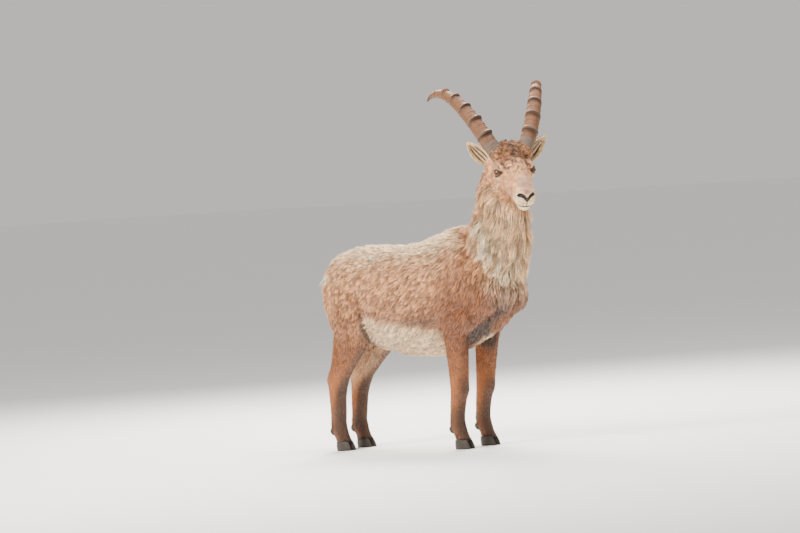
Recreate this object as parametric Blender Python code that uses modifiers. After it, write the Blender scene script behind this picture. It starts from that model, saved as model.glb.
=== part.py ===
"""Alpine ibex, a young male of about three years, standing at its real size.

Metres, +Z up. The animal faces +X, its left side is +Y and the floor is z = 0. The head is
shaped in a frame of its own, +X from poll to nose, and is then turned into place on the neck.
The flesh is modelled whole, closed into one surface, and parted with thin cuts.
"""

import math
import random

import bmesh
import bpy
from mathutils import Matrix, Vector
from mathutils.bvhtree import BVHTree

# Driving sizes of the body, measured from the floor
WITHERS = 0.812
CROUP = 0.757
LOIN = 0.752
STERNUM = 0.388
BELLY = 0.338
FORE_X = 0.130
HIND_X = -0.438
FORE_Y = 0.074
HIND_Y = 0.072
HIND_STEP = -0.022

# The head's place, between the eyes, and its turn
HEAD_AT = Vector((0.447, -0.045, 1.0))
HEAD_YAW = math.radians(-37)
HEAD_PITCH = math.radians(26)
HEAD_ROLL = math.radians(1.4)

# Horns, ears and eyes, in the head's own frame
HORN_ROOT = Vector((-0.064, 0.053, 0.052))
HORN_LENGTH = 0.450
HORN_RISE = math.radians(134)
HORN_TURN = math.radians(69)
HORN_SPREAD = 0.158
HORN_BASE_DEPTH = 0.035
HORN_BASE_WIDTH = 0.030
KNOBS = 5
FIRST_KNOB = 0.13
KNOB_STEP = 0.14
KNOB_HALF = 0.022
KNOB_RISE = 0.0115
EAR_LENGTH = 0.122
EAR_HALF_WIDTH = 0.034
EAR_WALL = 0.0035
EAR_SEAT = Vector((-0.084, 0.064, -0.014))
EYE_AT = Vector((0.012, 0.0600, 0.002))
EYE_RADIUS = 0.0172
EYE_AXIS = Vector((0.56, 0.82, 0.08)).normalized()

# Hooves and dewclaws
HOOF_HEIGHT = 0.034
HOOF_LENGTH = 0.068
HOOF_WIDTH = 0.027
DEWCLAW = Vector((0.010, 0.009, 0.015))

# Long coat, as flat locks: how far a root is sunk, and the middle thickness
LOCK_SINK = 0.006
LOCK_THICK = 0.0030
LOCK_SEED = 12

# The cuts between head and neck and between neck and torso: a point and the way up across each
HEAD_JOINT = (Vector((0.375, -0.010, 0.930)), Vector((0.62, -0.12, 0.78)))
NECK_JOINT = (Vector((0.300, 0.000, 0.690)), Vector((0.62, 0.00, 0.78)))

# Making
GAP = 0.0003
VOXEL = 0.0034
BODY_FACES = 2550
HEAD_FACES = 1700
SIDES = {"right": -1, "left": 1}

for old in list(bpy.data.objects):
    bpy.data.objects.remove(old, do_unlink=True)

PARTS = bpy.data.collections.new("alpine_ibex")
CUTTERS = bpy.data.collections.new("cutters")
LOCKS = bpy.data.collections.new("locks")
for collection in (PARTS, CUTTERS, LOCKS):
    bpy.context.scene.collection.children.link(collection)
CUTTERS.hide_render = True
LOCKS.hide_render = True


def put_in(collection, made):
    """Links an object. Helpers show as wire and aren't rendered."""
    collection.objects.link(made)
    made.hide_render = collection is not PARTS
    made.display_type = "TEXTURED" if collection is PARTS else "WIRE"
    return made


def place(name, bm, collection=CUTTERS):
    """A mesh object of this name from bm, its faces pointing out."""
    bmesh.ops.recalc_face_normals(bm, faces=bm.faces)
    mesh = bpy.data.meshes.new(name)
    bm.to_mesh(mesh)
    bm.free()
    made = bpy.data.objects.new(name, mesh)
    return put_in(collection, made)


def skin_rings(bm, rings):
    """Faces between neighbouring rings of vertices, and a cap on each end."""
    for lower, upper in zip(rings, rings[1:]):
        count = len(lower)
        for k in range(count):
            bm.faces.new((lower[k], lower[(k + 1) % count], upper[(k + 1) % count], upper[k]))
    bm.faces.new(rings[0][::-1])
    bm.faces.new(rings[-1])


def tube(name, stations, sides=20, frame=None, collection=CUTTERS):
    """A closed form through stations of (centre, half width across, half depth along the plane)."""
    bm = bmesh.new()
    centres = [Vector(station[0]) for station in stations]
    rings = []
    for i, (_, across, deep) in enumerate(stations):
        ahead = centres[min(i + 1, len(centres) - 1)] - centres[max(i - 1, 0)]
        ahead.normalize()
        lateral = (Vector((0, 1, 0)) - ahead * ahead.y).normalized()
        upward = lateral.cross(ahead)
        turns = [2 * math.pi * k / sides for k in range(sides)]
        rings.append(
            [
                bm.verts.new(centres[i] + lateral * across * math.cos(t) + upward * deep * math.sin(t))
                for t in turns
            ]
        )
    skin_rings(bm, rings)
    if frame is not None:
        bm.transform(frame)
    return place(name, bm, collection)


def ball(name, centre, radii, lean=0.0, frame=None):
    """An ellipsoid, leant about Y by these degrees."""
    bm = bmesh.new()
    bmesh.ops.create_uvsphere(bm, u_segments=24, v_segments=16, radius=1)
    turn = Matrix.Rotation(math.radians(lean), 4, "Y")
    bm.transform(Matrix.Translation(centre) @ turn @ Matrix.Diagonal((*radii, 1)))
    if frame is not None:
        bm.transform(frame)
    return place(name, bm)


def head_frame():
    turn = Matrix.Rotation(HEAD_YAW, 4, "Z") @ Matrix.Rotation(HEAD_PITCH, 4, "Y")
    return Matrix.Translation(HEAD_AT) @ turn @ Matrix.Rotation(HEAD_ROLL, 4, "X")


HEAD = head_frame()


def trunk_forms():
    """The barrel of the ribs and belly, the rump, the breast and the ridge of the back."""
    # along the body, top, bottom, half width
    stations = (
        (-0.484, 0.640, 0.565, 0.045),
        (-0.462, 0.695, 0.515, 0.085),
        (-0.410, CROUP - 0.020, 0.460, 0.118),
        (-0.330, CROUP, 0.425, 0.131),
        (-0.225, LOIN + 0.005, 0.374, 0.138),
        (-0.110, LOIN, BELLY + 0.005, 0.149),
        (0.000, LOIN + 0.012, BELLY, 0.152),
        (0.085, WITHERS - 0.026, BELLY + 0.014, 0.146),
        (0.160, WITHERS, STERNUM - 0.006, 0.134),
        (0.230, WITHERS - 0.012, STERNUM + 0.018, 0.120),
        (0.300, 0.755, 0.440, 0.108),
        (0.350, 0.700, 0.490, 0.088),
        (0.382, 0.640, 0.550, 0.050),
    )
    barrel = [((x, 0, (top + low) / 2), half, (top - low) / 2) for x, top, low, half in stations]
    tube("barrel", barrel, 28)
    ridge = [
        ((x, 0, top - 0.034), 0.050, 0.034) for x, top, _, _ in stations[2:10]
    ]
    tube("back_ridge", ridge, 16)
    ball("rump", (-0.390, 0, 0.632), (0.095, 0.116, 0.108))
    ball("breast", (0.345, 0, 0.560), (0.062, 0.070, 0.080))
    keel = (
        ((0.080, 0, BELLY + 0.030), 0.035, 0.022),
        ((0.170, 0, STERNUM + 0.008), 0.026, 0.024),
        ((0.250, 0, STERNUM + 0.042), 0.024, 0.026),
        ((0.320, 0, 0.480), 0.024, 0.026),
        ((0.370, 0, 0.540), 0.020, 0.020),
    )
    tube("keel", keel, 12)


def neck_forms():
    stations = (
        ((0.225, 0.000, 0.630), 0.098, 0.150),
        ((0.285, 0.000, 0.700), 0.098, 0.146),
        ((0.328, -0.002, 0.775), 0.088, 0.124),
        ((0.342, -0.004, 0.850), 0.077, 0.108),
        ((0.352, -0.006, 0.920), 0.069, 0.096),
        ((0.366, -0.006, 0.985), 0.062, 0.082),
        ((0.376, -0.006, 1.020), 0.054, 0.068),
    )
    tube("neck_form", stations, 24)


def foreleg_forms(side, sign):
    y = sign * FORE_Y
    x = FORE_X
    ball(f"shoulder_blade_{side}", (0.215, sign * 0.086, 0.610), (0.085, 0.050, 0.165), lean=-20)
    ball(f"shoulder_point_{side}", (0.292, sign * 0.080, 0.560), (0.070, 0.050, 0.082), lean=-25)
    ball(f"upper_arm_{side}", (0.205, sign * 0.094, 0.480), (0.078, 0.044, 0.060), lean=-32)
    stations = (
        ((x + 0.045, y * 1.26, 0.500), 0.045, 0.068),
        ((x + 0.036, y * 1.24, 0.440), 0.043, 0.059),
        ((x + 0.030, y * 1.18, 0.385), 0.039, 0.050),
        ((x + 0.026, y * 1.10, 0.315), 0.036, 0.044),
        ((x + 0.022, y * 1.04, 0.255), 0.035, 0.041),
        ((x + 0.020, y * 1.01, 0.216), 0.035, 0.040),
        ((x + 0.010, y, 0.182), 0.031, 0.034),
        ((x + 0.003, y, 0.140), 0.028, 0.032),
        ((x + 0.000, y, 0.105), 0.027, 0.031),
        ((x + 0.001, y, 0.080), 0.029, 0.034),
        ((x + 0.013, y, 0.052), 0.027, 0.029),
        ((x + 0.020, y, 0.030), 0.029, 0.032),
        ((x + 0.023, y, 0.015), 0.028, 0.032),
    )
    tube(f"foreleg_form_{side}", stations)


def hindleg_forms(side, sign, step):
    """The thigh, stifle, gaskin, hock and cannon. step moves the foot forward."""
    y = sign * HIND_Y
    x = HIND_X

    def at(dx, wide, z):
        share = max(0.0, min(1.0, (0.60 - z) / 0.50))
        return (x + dx + step * share, y * wide, z)

    ball(f"thigh_{side}", at(0.092, 1.12, 0.555), (0.112, 0.056, 0.160), lean=8)
    ball(f"buttock_{side}", at(0.012, 0.80, 0.585), (0.055, 0.055, 0.120), lean=4)
    ball(f"stifle_{side}", at(0.172, 1.26, 0.470), (0.052, 0.040, 0.064), lean=22)
    stations = (
        (at(0.135, 1.24, 0.520), 0.047, 0.104),
        (at(0.116, 1.24, 0.460), 0.046, 0.094),
        (at(0.082, 1.20, 0.400), 0.042, 0.079),
        (at(0.052, 1.14, 0.345), 0.037, 0.060),
        (at(0.022, 1.08, 0.290), 0.033, 0.047),
        (at(0.003, 1.04, 0.242), 0.033, 0.044),
        (at(-0.002, 1.02, 0.200), 0.031, 0.038),
        (at(-0.004, 1.00, 0.150), 0.031, 0.035),
        (at(-0.006, 1.00, 0.105), 0.029, 0.033),
        (at(-0.006, 1.00, 0.080), 0.031, 0.036),
        (at(0.006, 1.00, 0.052), 0.028, 0.031),
        (at(0.014, 1.00, 0.030), 0.029, 0.032),
        (at(0.018, 1.00, 0.015), 0.028, 0.032),
    )
    tube(f"hindleg_form_{side}", stations)
    tube(
        f"hock_point_{side}",
        (
            (at(0.020, 1.10, 0.335), 0.012, 0.014),
            (at(-0.020, 1.06, 0.295), 0.014, 0.016),
            (at(-0.036, 1.04, 0.262), 0.016, 0.015),
            (at(-0.024, 1.04, 0.222), 0.014, 0.014),
        ),
        12,
    )


def head_forms():
    """Skull, face, jaw, brow, cheek, lips and chin, in the head's own frame."""
    # along the face, top, bottom, half width
    stations = (
        (-0.128, 0.036, -0.056, 0.044),
        (-0.100, 0.064, -0.082, 0.061),
        (-0.055, 0.076, -0.094, 0.067),
        (-0.005, 0.062, -0.090, 0.064),
        (0.040, 0.047, -0.082, 0.053),
        (0.080, 0.035, -0.078, 0.046),
        (0.118, 0.026, -0.077, 0.042),
        (0.150, 0.018, -0.076, 0.040),
        (0.174, 0.008, -0.064, 0.034),
        (0.188, -0.004, -0.046, 0.020),
    )
    face = [((x, 0, (top + low) / 2), half, (top - low) / 2) for x, top, low, half in stations]
    tube("face", face, 24, HEAD)
    ball("crown", (-0.056, 0, 0.048), (0.060, 0.054, 0.036), frame=HEAD)
    ball("nose_pad", (0.172, 0, -0.008), (0.022, 0.027, 0.022), frame=HEAD)
    ball("chin", (0.142, 0, -0.068), (0.032, 0.025, 0.021), frame=HEAD)
    ball("throat", (-0.040, 0, -0.074), (0.070, 0.054, 0.046), frame=HEAD)
    for side, sign in SIDES.items():
        ball(f"brow_{side}", (-0.002, sign * 0.054, 0.024), (0.038, 0.015, 0.013), frame=HEAD)
        ball(f"eye_socket_{side}", (0.005, sign * 0.059, 0.001), (0.033, 0.0165, 0.027), frame=HEAD)
        ball(f"cheek_{side}", (-0.034, sign * 0.046, -0.046), (0.056, 0.024, 0.044), frame=HEAD)
        ball(f"upper_lip_{side}", (0.154, sign * 0.021, -0.034), (0.032, 0.020, 0.026), frame=HEAD)
        ball(f"horn_seat_{side}", (-0.060, sign * 0.048, 0.046), (0.042, 0.034, 0.034), frame=HEAD)
        ball(f"ear_seat_{side}", (-0.084, sign * 0.062, -0.006), (0.028, 0.022, 0.028), frame=HEAD)


def join(objects, name):
    """All of these made one mesh object, with no faces merged."""
    bm = bmesh.new()
    for each in objects:
        bm.from_mesh(each.data)
    made = place(name, bm)
    for each in objects:
        bpy.data.objects.remove(each, do_unlink=True)
    return made


def apply_modifiers(target):
    """The evaluated mesh takes the place of the mesh and its modifiers."""
    bpy.context.view_layer.update()
    graph = bpy.context.evaluated_depsgraph_get()
    mesh = bpy.data.meshes.new_from_object(target.evaluated_get(graph))
    target.modifiers.clear()
    target.data = mesh
    return target


def close_and_smooth(target):
    """One closed skin over all the forms, soft where they meet and crisp on head and feet."""
    remesh = target.modifiers.new("close", "REMESH")
    remesh.mode = "VOXEL"
    remesh.voxel_size = VOXEL
    apply_modifiers(target)
    trunk = target.vertex_groups.new(name="trunk")
    whole = target.vertex_groups.new(name="whole")
    for vertex in target.data.vertices:
        from_head = (vertex.co - (HEAD @ Vector((0.0, 0, 0)))).length
        soft = min(1.0, max(0.0, (vertex.co.z - 0.22) / 0.18))
        soft *= min(1.0, max(0.0, (from_head - 0.15) / 0.08))
        trunk.add((vertex.index,), soft, "REPLACE")
        whole.add((vertex.index,), 1.0, "REPLACE")
    for name, group, rounds in (("blend", "trunk", 60), ("even", "whole", 5)):
        smooth = target.modifiers.new(name, "SMOOTH")
        smooth.vertex_group = group
        smooth.factor = 0.5
        smooth.iterations = rounds
    return apply_modifiers(target)


def thin_out(target):
    """Fewer faces, kept closer together on the head."""
    bpy.context.view_layer.objects.active = target
    for keep, wanted in ((True, HEAD_FACES), (False, BODY_FACES)):
        bpy.ops.object.mode_set(mode="EDIT")
        bm = bmesh.from_edit_mesh(target.data)
        bmesh.ops.triangulate(bm, faces=[f for f in bm.faces if len(f.verts) > 3])
        chosen = 0
        for face in bm.faces:
            on_head = (face.calc_center_median() - HEAD_JOINT[0]).dot(HEAD_JOINT[1]) > 0
            face.select = on_head == keep
            chosen += face.select
        bm.select_flush_mode()
        bmesh.update_edit_mesh(target.data)
        bpy.ops.mesh.decimate(ratio=min(1.0, wanted / chosen))
        bpy.ops.object.mode_set(mode="OBJECT")
    return target


def boolean(target, cutter, operation):
    step = target.modifiers.new(operation.lower(), "BOOLEAN")
    step.operation = operation
    step.solver = "EXACT"
    step.object = cutter
    return apply_modifiers(target)


def keep_largest(target):
    """Only the largest closed surface stays."""
    bm = bmesh.new()
    bm.from_mesh(target.data)
    bmesh.ops.triangulate(bm, faces=bm.faces)
    unseen = set(bm.verts)
    pieces = []
    while unseen:
        stack = [unseen.pop()]
        piece = set(stack)
        while stack:
            for edge in stack.pop().link_edges:
                for vertex in edge.verts:
                    if vertex in unseen:
                        unseen.discard(vertex)
                        piece.add(vertex)
                        stack.append(vertex)
        pieces.append(piece)
    if len(pieces) > 1:
        spans = []
        for piece in pieces:
            faces = {face for vertex in piece for face in vertex.link_faces}
            spans.append(sum(face.calc_area() for face in faces))
        largest = pieces[spans.index(max(spans))]
        bmesh.ops.delete(bm, geom=[v for v in bm.verts if v not in largest], context="VERTS")
    bm.to_mesh(target.data)
    bm.free()
    return target


def copy_of(source, name, collection=CUTTERS):
    return put_in(collection, bpy.data.objects.new(name, source.data.copy()))


def swollen(source, name, by=GAP):
    """A copy moved out along its normals, to cut a neighbour clear of source."""
    made = copy_of(source, name)
    moved = [v.co + v.normal * by for v in made.data.vertices]
    for vertex, point in zip(made.data.vertices, moved):
        vertex.co = point
    return made


def surface_of(target):
    """What rays and nearest points are found on."""
    bm = bmesh.new()
    bm.from_mesh(target.data)
    tree = BVHTree.FromBMesh(bm)
    bm.free()
    return tree


def lock(surface, seed, lie, length, half_width, lift, sway=0.0):
    """A flat, pointed lock, rooted under the surface at seed, that runs along lie and rises to its tip."""
    steps = 5
    bm = bmesh.new()
    at, normal, _, _ = surface.find_nearest(seed)
    heading = Vector(lie)
    rings = []
    for step in range(steps + 1):
        share = step / steps
        heading = (heading - normal * heading.dot(normal)).normalized()
        across = normal.cross(heading).normalized()
        height = lift * share**0.70 - LOCK_SINK * (1 - share) ** 4
        centre = at + normal * height + across * sway * share**2
        if step == steps:
            tip = bm.verts.new(centre)
            for k in range(4):
                bm.faces.new((rings[-1][k], rings[-1][(k + 1) % 4], tip))
            break
        wide = half_width * (0.72, 1.0, 0.97, 0.80, 0.48)[step]
        thick = LOCK_THICK * (0.9, 1.0, 0.90, 0.70, 0.45)[step]
        corners = (across * wide, normal * thick, across * -wide, normal * -thick)
        rings.append([bm.verts.new(centre + corner) for corner in corners])
        at, normal, _, _ = surface.find_nearest(at + heading * length / steps)
    for lower, upper in zip(rings, rings[1:]):
        for k in range(4):
            bm.faces.new((lower[k], lower[(k + 1) % 4], upper[(k + 1) % 4], upper[k]))
    bm.faces.new(rings[0][::-1])
    bmesh.ops.triangulate(bm, faces=bm.faces)
    return place("lock", bm, LOCKS)


def fuse_locks(target, neighbours=()):
    """One union of target with all the locks, then cut clear of its neighbours."""
    fuse = target.modifiers.new("fuse", "BOOLEAN")
    fuse.operation = "UNION"
    fuse.operand_type = "COLLECTION"
    fuse.collection = LOCKS
    fuse.solver = "EXACT"
    apply_modifiers(target)
    for each in list(LOCKS.objects):
        bpy.data.objects.remove(each, do_unlink=True)
    for neighbour in neighbours:
        boolean(target, swollen(neighbour, "neighbour", GAP * 0.7), "DIFFERENCE")
    return keep_largest(target)


def seed_round(surface, middle, angle, reach=0.35):
    """The point of the surface straight out from middle, at this level angle from straight ahead."""
    way = Vector((math.cos(angle), math.sin(angle), 0))
    hit, _, _, _ = surface.ray_cast(middle + way * reach, -way)
    return hit


def height_on(joint, x, y):
    """How high this cut lies over a point of the floor."""
    point, way = joint
    return point.z - (way.x * (x - point.x) + way.y * (y - point.y)) / way.z


def neck_coat(surface, draw):
    """Rows of overlapping locks down the neck, longest at the throat."""
    rows = 5
    around = 8
    for row in range(rows):
        share = row / (rows - 1)
        middle_x = 0.350 - 0.030 * share
        for k in range(around):
            angle = 2 * math.pi * (k + 0.5 * (row % 2)) / around + draw.uniform(-0.10, 0.10)
            front = max(0.0, math.cos(angle))
            x = middle_x + 0.095 * math.cos(angle)
            y = 0.075 * math.sin(angle)
            top = height_on(HEAD_JOINT, x, y) - 0.026
            foot = height_on(NECK_JOINT, x, y) + 0.050
            middle = Vector((middle_x, -0.006, top + (foot - top) * share))
            lie = (-0.20, draw.uniform(-0.18, 0.18), -1)
            length = 0.082 + 0.018 * front - 0.030 * share * max(0.0, -math.cos(angle))
            length += draw.uniform(-0.008, 0.008)
            lift = 0.010 + 0.005 * front + draw.uniform(0, 0.003)
            sway = draw.uniform(-0.018, 0.018)
            seed = seed_round(surface, middle, angle)
            lock(surface, seed, lie, length, draw.uniform(0.025, 0.031), lift, sway)


def torn_clumps(surface, draw):
    """Tufts of winter wool, half shed, that stand off the right side of the neck."""
    for k in range(6):
        angle = math.radians(-64 + 13 * (k % 3) + draw.uniform(-3, 3))
        middle = Vector((0.320, 0, 0.720 - 0.032 * (k // 3) + draw.uniform(-0.008, 0.008)))
        lie = (draw.uniform(-0.2, 0.6), draw.uniform(-0.4, 0.2), -1)
        length = draw.uniform(0.045, 0.060)
        lift = draw.uniform(0.020, 0.028)
        seed = seed_round(surface, middle, angle)
        lock(surface, seed, lie, length, 0.011, lift, draw.uniform(-0.02, 0.02))


def breast_coat(surface, draw):
    """Locks over the breast, pointing down and back."""
    for row, height in enumerate((0.610, 0.560)):
        for k in range(4):
            angle = math.radians(-42 + 28 * k - 10 * (row % 2) + draw.uniform(-4, 4))
            seed = seed_round(surface, Vector((0.26, 0, height)), angle)
            lie = (-0.35, draw.uniform(-0.1, 0.1), -1)
            sway = draw.uniform(-0.012, 0.012)
            lock(surface, seed, lie, draw.uniform(0.062, 0.074), draw.uniform(0.019, 0.023), 0.009, sway)


def belly_coat(surface, draw):
    """Pale locks along the belly, lying back, and the hanging tuft of the sheath."""
    below = Vector((0, 0, 0.1))
    for k in range(7):
        lane = (k % 3) - 1
        start = below + Vector((0.07 - 0.048 * k, 0.052 * lane + draw.uniform(-0.008, 0.008), 0))
        hit, _, _, _ = surface.ray_cast(start, Vector((0, 0, 1)))
        lock(surface, hit, (-1, 0.25 * lane, -0.2), draw.uniform(0.062, 0.074), 0.021, 0.012)
    for k in range(3):
        start = below + Vector((-0.172 + 0.010 * (k % 2), 0.011 * (k - 1), 0))
        hit, _, _, _ = surface.ray_cast(start, Vector((0, 0, 1)))
        lock(surface, hit, (0.6, 0.2 * (k - 1), -1), 0.046, 0.010, 0.028)


def head_coat(surface, draw):
    """The rough tuft on the crown and the ruff behind the jaw."""
    for k in range(6):
        lane = (-1, 1, 0)[k % 3]
        seed = HEAD @ Vector((-0.074 + 0.022 * (k // 3) + 0.008 * (lane == 0), 0.020 * lane, 0.10))
        lie = HEAD.to_3x3() @ Vector((1, 0.35 * lane + draw.uniform(-0.2, 0.2), -0.3))
        lock(surface, seed, lie, draw.uniform(0.036, 0.044), 0.012, 0.007, draw.uniform(-0.005, 0.005))
    for sign in SIDES.values():
        for k in range(3):
            at = Vector((-0.070 + 0.014 * k, sign * 0.085, -0.022 - 0.024 * k))
            lie = HEAD.to_3x3() @ Vector((-0.55, 0, -1)) + Vector((0, 0, -0.5))
            lock(surface, HEAD @ at, lie, draw.uniform(0.042, 0.052), 0.014, 0.008)


def hull(name, points):
    bm = bmesh.new()
    for point in points:
        bm.verts.new(point)
    bmesh.ops.convex_hull(bm, input=bm.verts)
    return place(name, bm)


def leg_region(name, sign, x_range, height_at, lift=0.0):
    """The space of one leg: from the floor up to a plane that slants from the groin to the flank."""
    inner = 4 * GAP
    outer = 0.30
    under_floor = -0.1
    points = []
    for x in x_range:
        for y in (inner, outer):
            points.append((x, sign * y, height_at(x, y) + lift))
            points.append((x, sign * y, under_floor))
    return hull(name, points)


def half_space(name, point, normal, lift=0.0):
    """A box whose lower face lies on the plane, lifted by lift along the normal."""
    bm = bmesh.new()
    bmesh.ops.create_cube(bm, size=2.0)
    turn = Vector(normal).to_track_quat("Z", "Y").to_matrix().to_4x4()
    bm.transform(Matrix.Translation(Vector(point)) @ turn @ Matrix.Translation((0, 0, 1.0 + lift)))
    return place(name, bm)


def part_off(whole, name, region, region_and_gap):
    """The share of whole inside region becomes a node, and whole keeps what is outside the gap."""
    piece = copy_of(whole, name, PARTS)
    boolean(piece, region, "INTERSECT")
    keep_largest(piece)
    boolean(whole, region_and_gap, "DIFFERENCE")
    return piece


def flesh():
    """All of the body but ears, horns, eyes, tail and hooves, parted into its nodes."""
    trunk_forms()
    neck_forms()
    head_forms()
    for side, sign in SIDES.items():
        foreleg_forms(side, sign)
        hindleg_forms(side, sign, HIND_STEP if side == "left" else 0.0)
    whole = join(list(CUTTERS.objects), "flesh")
    close_and_smooth(whole)
    thin_out(whole)
    surface = surface_of(whole)
    nodes = {}

    def fore_height(x, y):
        return 0.352 + 1.05 * (y - 0.040) + 0.15 * (x - 0.16)

    def hind_height(x, y):
        return 0.375 + 1.25 * (y - 0.030) - 0.50 * (x + 0.35)

    for side, sign in SIDES.items():
        for leg, x_range, height in (
            ("foreleg", (0.00, 0.42), fore_height),
            ("hindleg", (-0.60, -0.18), hind_height),
        ):
            region = leg_region("region", sign, x_range, height)
            wider = leg_region("wider", sign, x_range, height, GAP * 1.6)
            name = f"{leg}_{side}"
            nodes[name] = part_off(whole, name, region, wider)
    for name, joint in (("head", HEAD_JOINT), ("neck", NECK_JOINT)):
        region = half_space("region", *joint)
        wider = half_space("wider", *joint, -GAP)
        nodes[name] = part_off(whole, name, region, wider)
    nodes["torso"] = keep_largest(copy_of(whole, "torso", PARTS))
    return nodes, surface


def horn_path(steps=120):
    """Points in the upright plane along the horn, which bends faster towards its tip."""
    x, z = HORN_ROOT.x, HORN_ROOT.z
    path = [(x, z)]
    for step in range(steps):
        share = (step + 0.5) / steps
        heading = HORN_RISE + HORN_TURN * (share + 0.30 * share**3 + 0.35 * share**9)
        x += math.cos(heading) * HORN_LENGTH / steps
        z += math.sin(heading) * HORN_LENGTH / steps
        path.append((x, z))
    return path


HORN_PATH = horn_path()


def horn_centre(share, sign):
    """A point on the horn's line, share 0 at the root and 1 at the tip, in the head's frame."""
    along = min(max(share, 0.0), 0.9999) * (len(HORN_PATH) - 1)
    low = int(along)
    x, z = (a + (b - a) * (along - low) for a, b in zip(HORN_PATH[low], HORN_PATH[low + 1]))
    lateral = HORN_ROOT.y + HORN_SPREAD * max(share, 0.0) ** 0.8
    return Vector((x, sign * lateral, z))


def knob_at(share):
    """How far a point of the horn is up a knob, 0 to 1. A knob is steep below and slopes off above."""
    most = 0.0
    for knob in range(KNOBS):
        away = share - (FIRST_KNOB + KNOB_STEP * knob)
        slope = 1.0 + away / (0.45 * KNOB_HALF) if away < 0 else 1.0 - away / KNOB_HALF
        most = max(most, slope * (1.0 - 0.10 * knob))
    return most


def horn(side, sign, head_swollen):
    """A scimitar with a broad front face and a raised knob across it for each half year's growth."""
    bm = bmesh.new()
    shares = [0.0, 0.06]
    for knob in range(KNOBS):
        at = FIRST_KNOB + KNOB_STEP * knob
        shares += [at - 0.45 * KNOB_HALF, at, at + KNOB_HALF, at + KNOB_STEP / 2]
    shares += [0.84, 0.90, 0.95, 0.985, 1.0]
    rings = []
    for share in shares:
        centre = horn_centre(share, sign)
        before = horn_centre(max(share - 0.01, 0.0), sign)
        ahead = (horn_centre(min(share + 0.01, 1.0), sign) - before).normalized()
        lateral = (Vector((0, 1, 0)) - ahead * ahead.y).normalized()
        front = lateral.cross(ahead)
        taper = max(1.0 - share**2.1, 0.0) ** 0.85 * 0.92 + 0.08
        lift = max(knob_at(share), 0.0)
        ring = []
        for k in range(12):
            t = 2 * math.pi * k / 12
            facing = max(0.0, math.cos(t))
            # the front face is broad and flat, and the back narrows
            narrow = 1.0 - 0.30 * max(0.0, -math.cos(t))
            deep = HORN_BASE_DEPTH * taper * math.copysign(abs(math.cos(t)) ** 0.8, math.cos(t))
            deep += KNOB_RISE * lift * (0.15 + 0.85 * facing**0.6)
            wide = HORN_BASE_WIDTH * taper * math.sin(t) * narrow
            wide += KNOB_RISE * 0.45 * lift * math.sin(t) * (0.4 + 0.6 * facing)
            ring.append(bm.verts.new(centre + front * deep + lateral * wide))
        rings.append(ring)
    skin_rings(bm, rings)
    bm.transform(HEAD)
    made = place(f"horn_{side}", bm, PARTS)
    boolean(made, head_swollen, "DIFFERENCE")
    return keep_largest(made)


def ear(side, sign, head_swollen):
    """A pointed leaf, cupped towards the front and side, on a short round root."""
    rows = 8
    columns = 5
    bm = bmesh.new()
    grid = []
    for row in range(rows + 1):
        v = row / rows
        half = EAR_HALF_WIDTH * math.sin(math.pi * (0.13 + 0.855 * v)) ** 0.8
        curl = 1.75 - 0.95 * v
        radius = half / curl
        line = []
        for column in range(columns + 1):
            u = 2 * column / columns - 1
            x = radius * (1 - math.cos(u * curl)) - 0.010 * math.sin(math.pi * v)
            line.append(bm.verts.new((x, radius * math.sin(u * curl), EAR_LENGTH * v)))
        grid.append(line)
    for row in range(rows):
        for column in range(columns):
            bm.faces.new(
                (
                    grid[row][column],
                    grid[row][column + 1],
                    grid[row + 1][column + 1],
                    grid[row + 1][column],
                )
            )
    made = place(f"ear_{side}", bm, PARTS)
    solid = made.modifiers.new("wall", "SOLIDIFY")
    solid.thickness = EAR_WALL
    solid.offset = 0
    apply_modifiers(made)
    # the leaf stands out and up from the side of the head, its cup facing forward
    lean = Matrix.Rotation(math.radians(-sign * 42), 4, "X")
    face_out = Matrix.Rotation(math.radians(sign * 12), 4, "Z")
    back = Matrix.Rotation(math.radians(-22), 4, "Y")
    seat = Matrix.Translation((EAR_SEAT.x, sign * EAR_SEAT.y, EAR_SEAT.z))
    made.data.transform(HEAD @ seat @ back @ lean @ face_out)
    boolean(made, head_swollen, "DIFFERENCE")
    return keep_largest(made)


def eye_centre(sign):
    return Vector((EYE_AT.x, sign * EYE_AT.y, EYE_AT.z))


def eye(side, sign):
    bm = bmesh.new()
    bmesh.ops.create_icosphere(bm, subdivisions=2, radius=EYE_RADIUS)
    bm.transform(HEAD @ Matrix.Translation(eye_centre(sign)))
    return place(f"eye_{side}", bm, PARTS)


def loop_tube(name, points, thickness, sides=6):
    """A closed ring of tube through these points, thickness given point by point."""
    bm = bmesh.new()
    count = len(points)
    middle = sum(points, Vector()) / count
    rings = []
    for i, point in enumerate(points):
        ahead = (points[(i + 1) % count] - points[i - 1]).normalized()
        outward = (point - middle).cross(ahead).normalized()
        inward = ahead.cross(outward)
        ring = []
        for k in range(sides):
            t = 2 * math.pi * k / sides
            ring.append(bm.verts.new(point + (outward * math.cos(t) + inward * math.sin(t)) * thickness[i]))
        rings.append(ring)
    for i in range(count):
        lower, upper = rings[i], rings[(i + 1) % count]
        for k in range(sides):
            bm.faces.new((lower[k], lower[(k + 1) % sides], upper[(k + 1) % sides], upper[k]))
    return place(name, bm)


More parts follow.
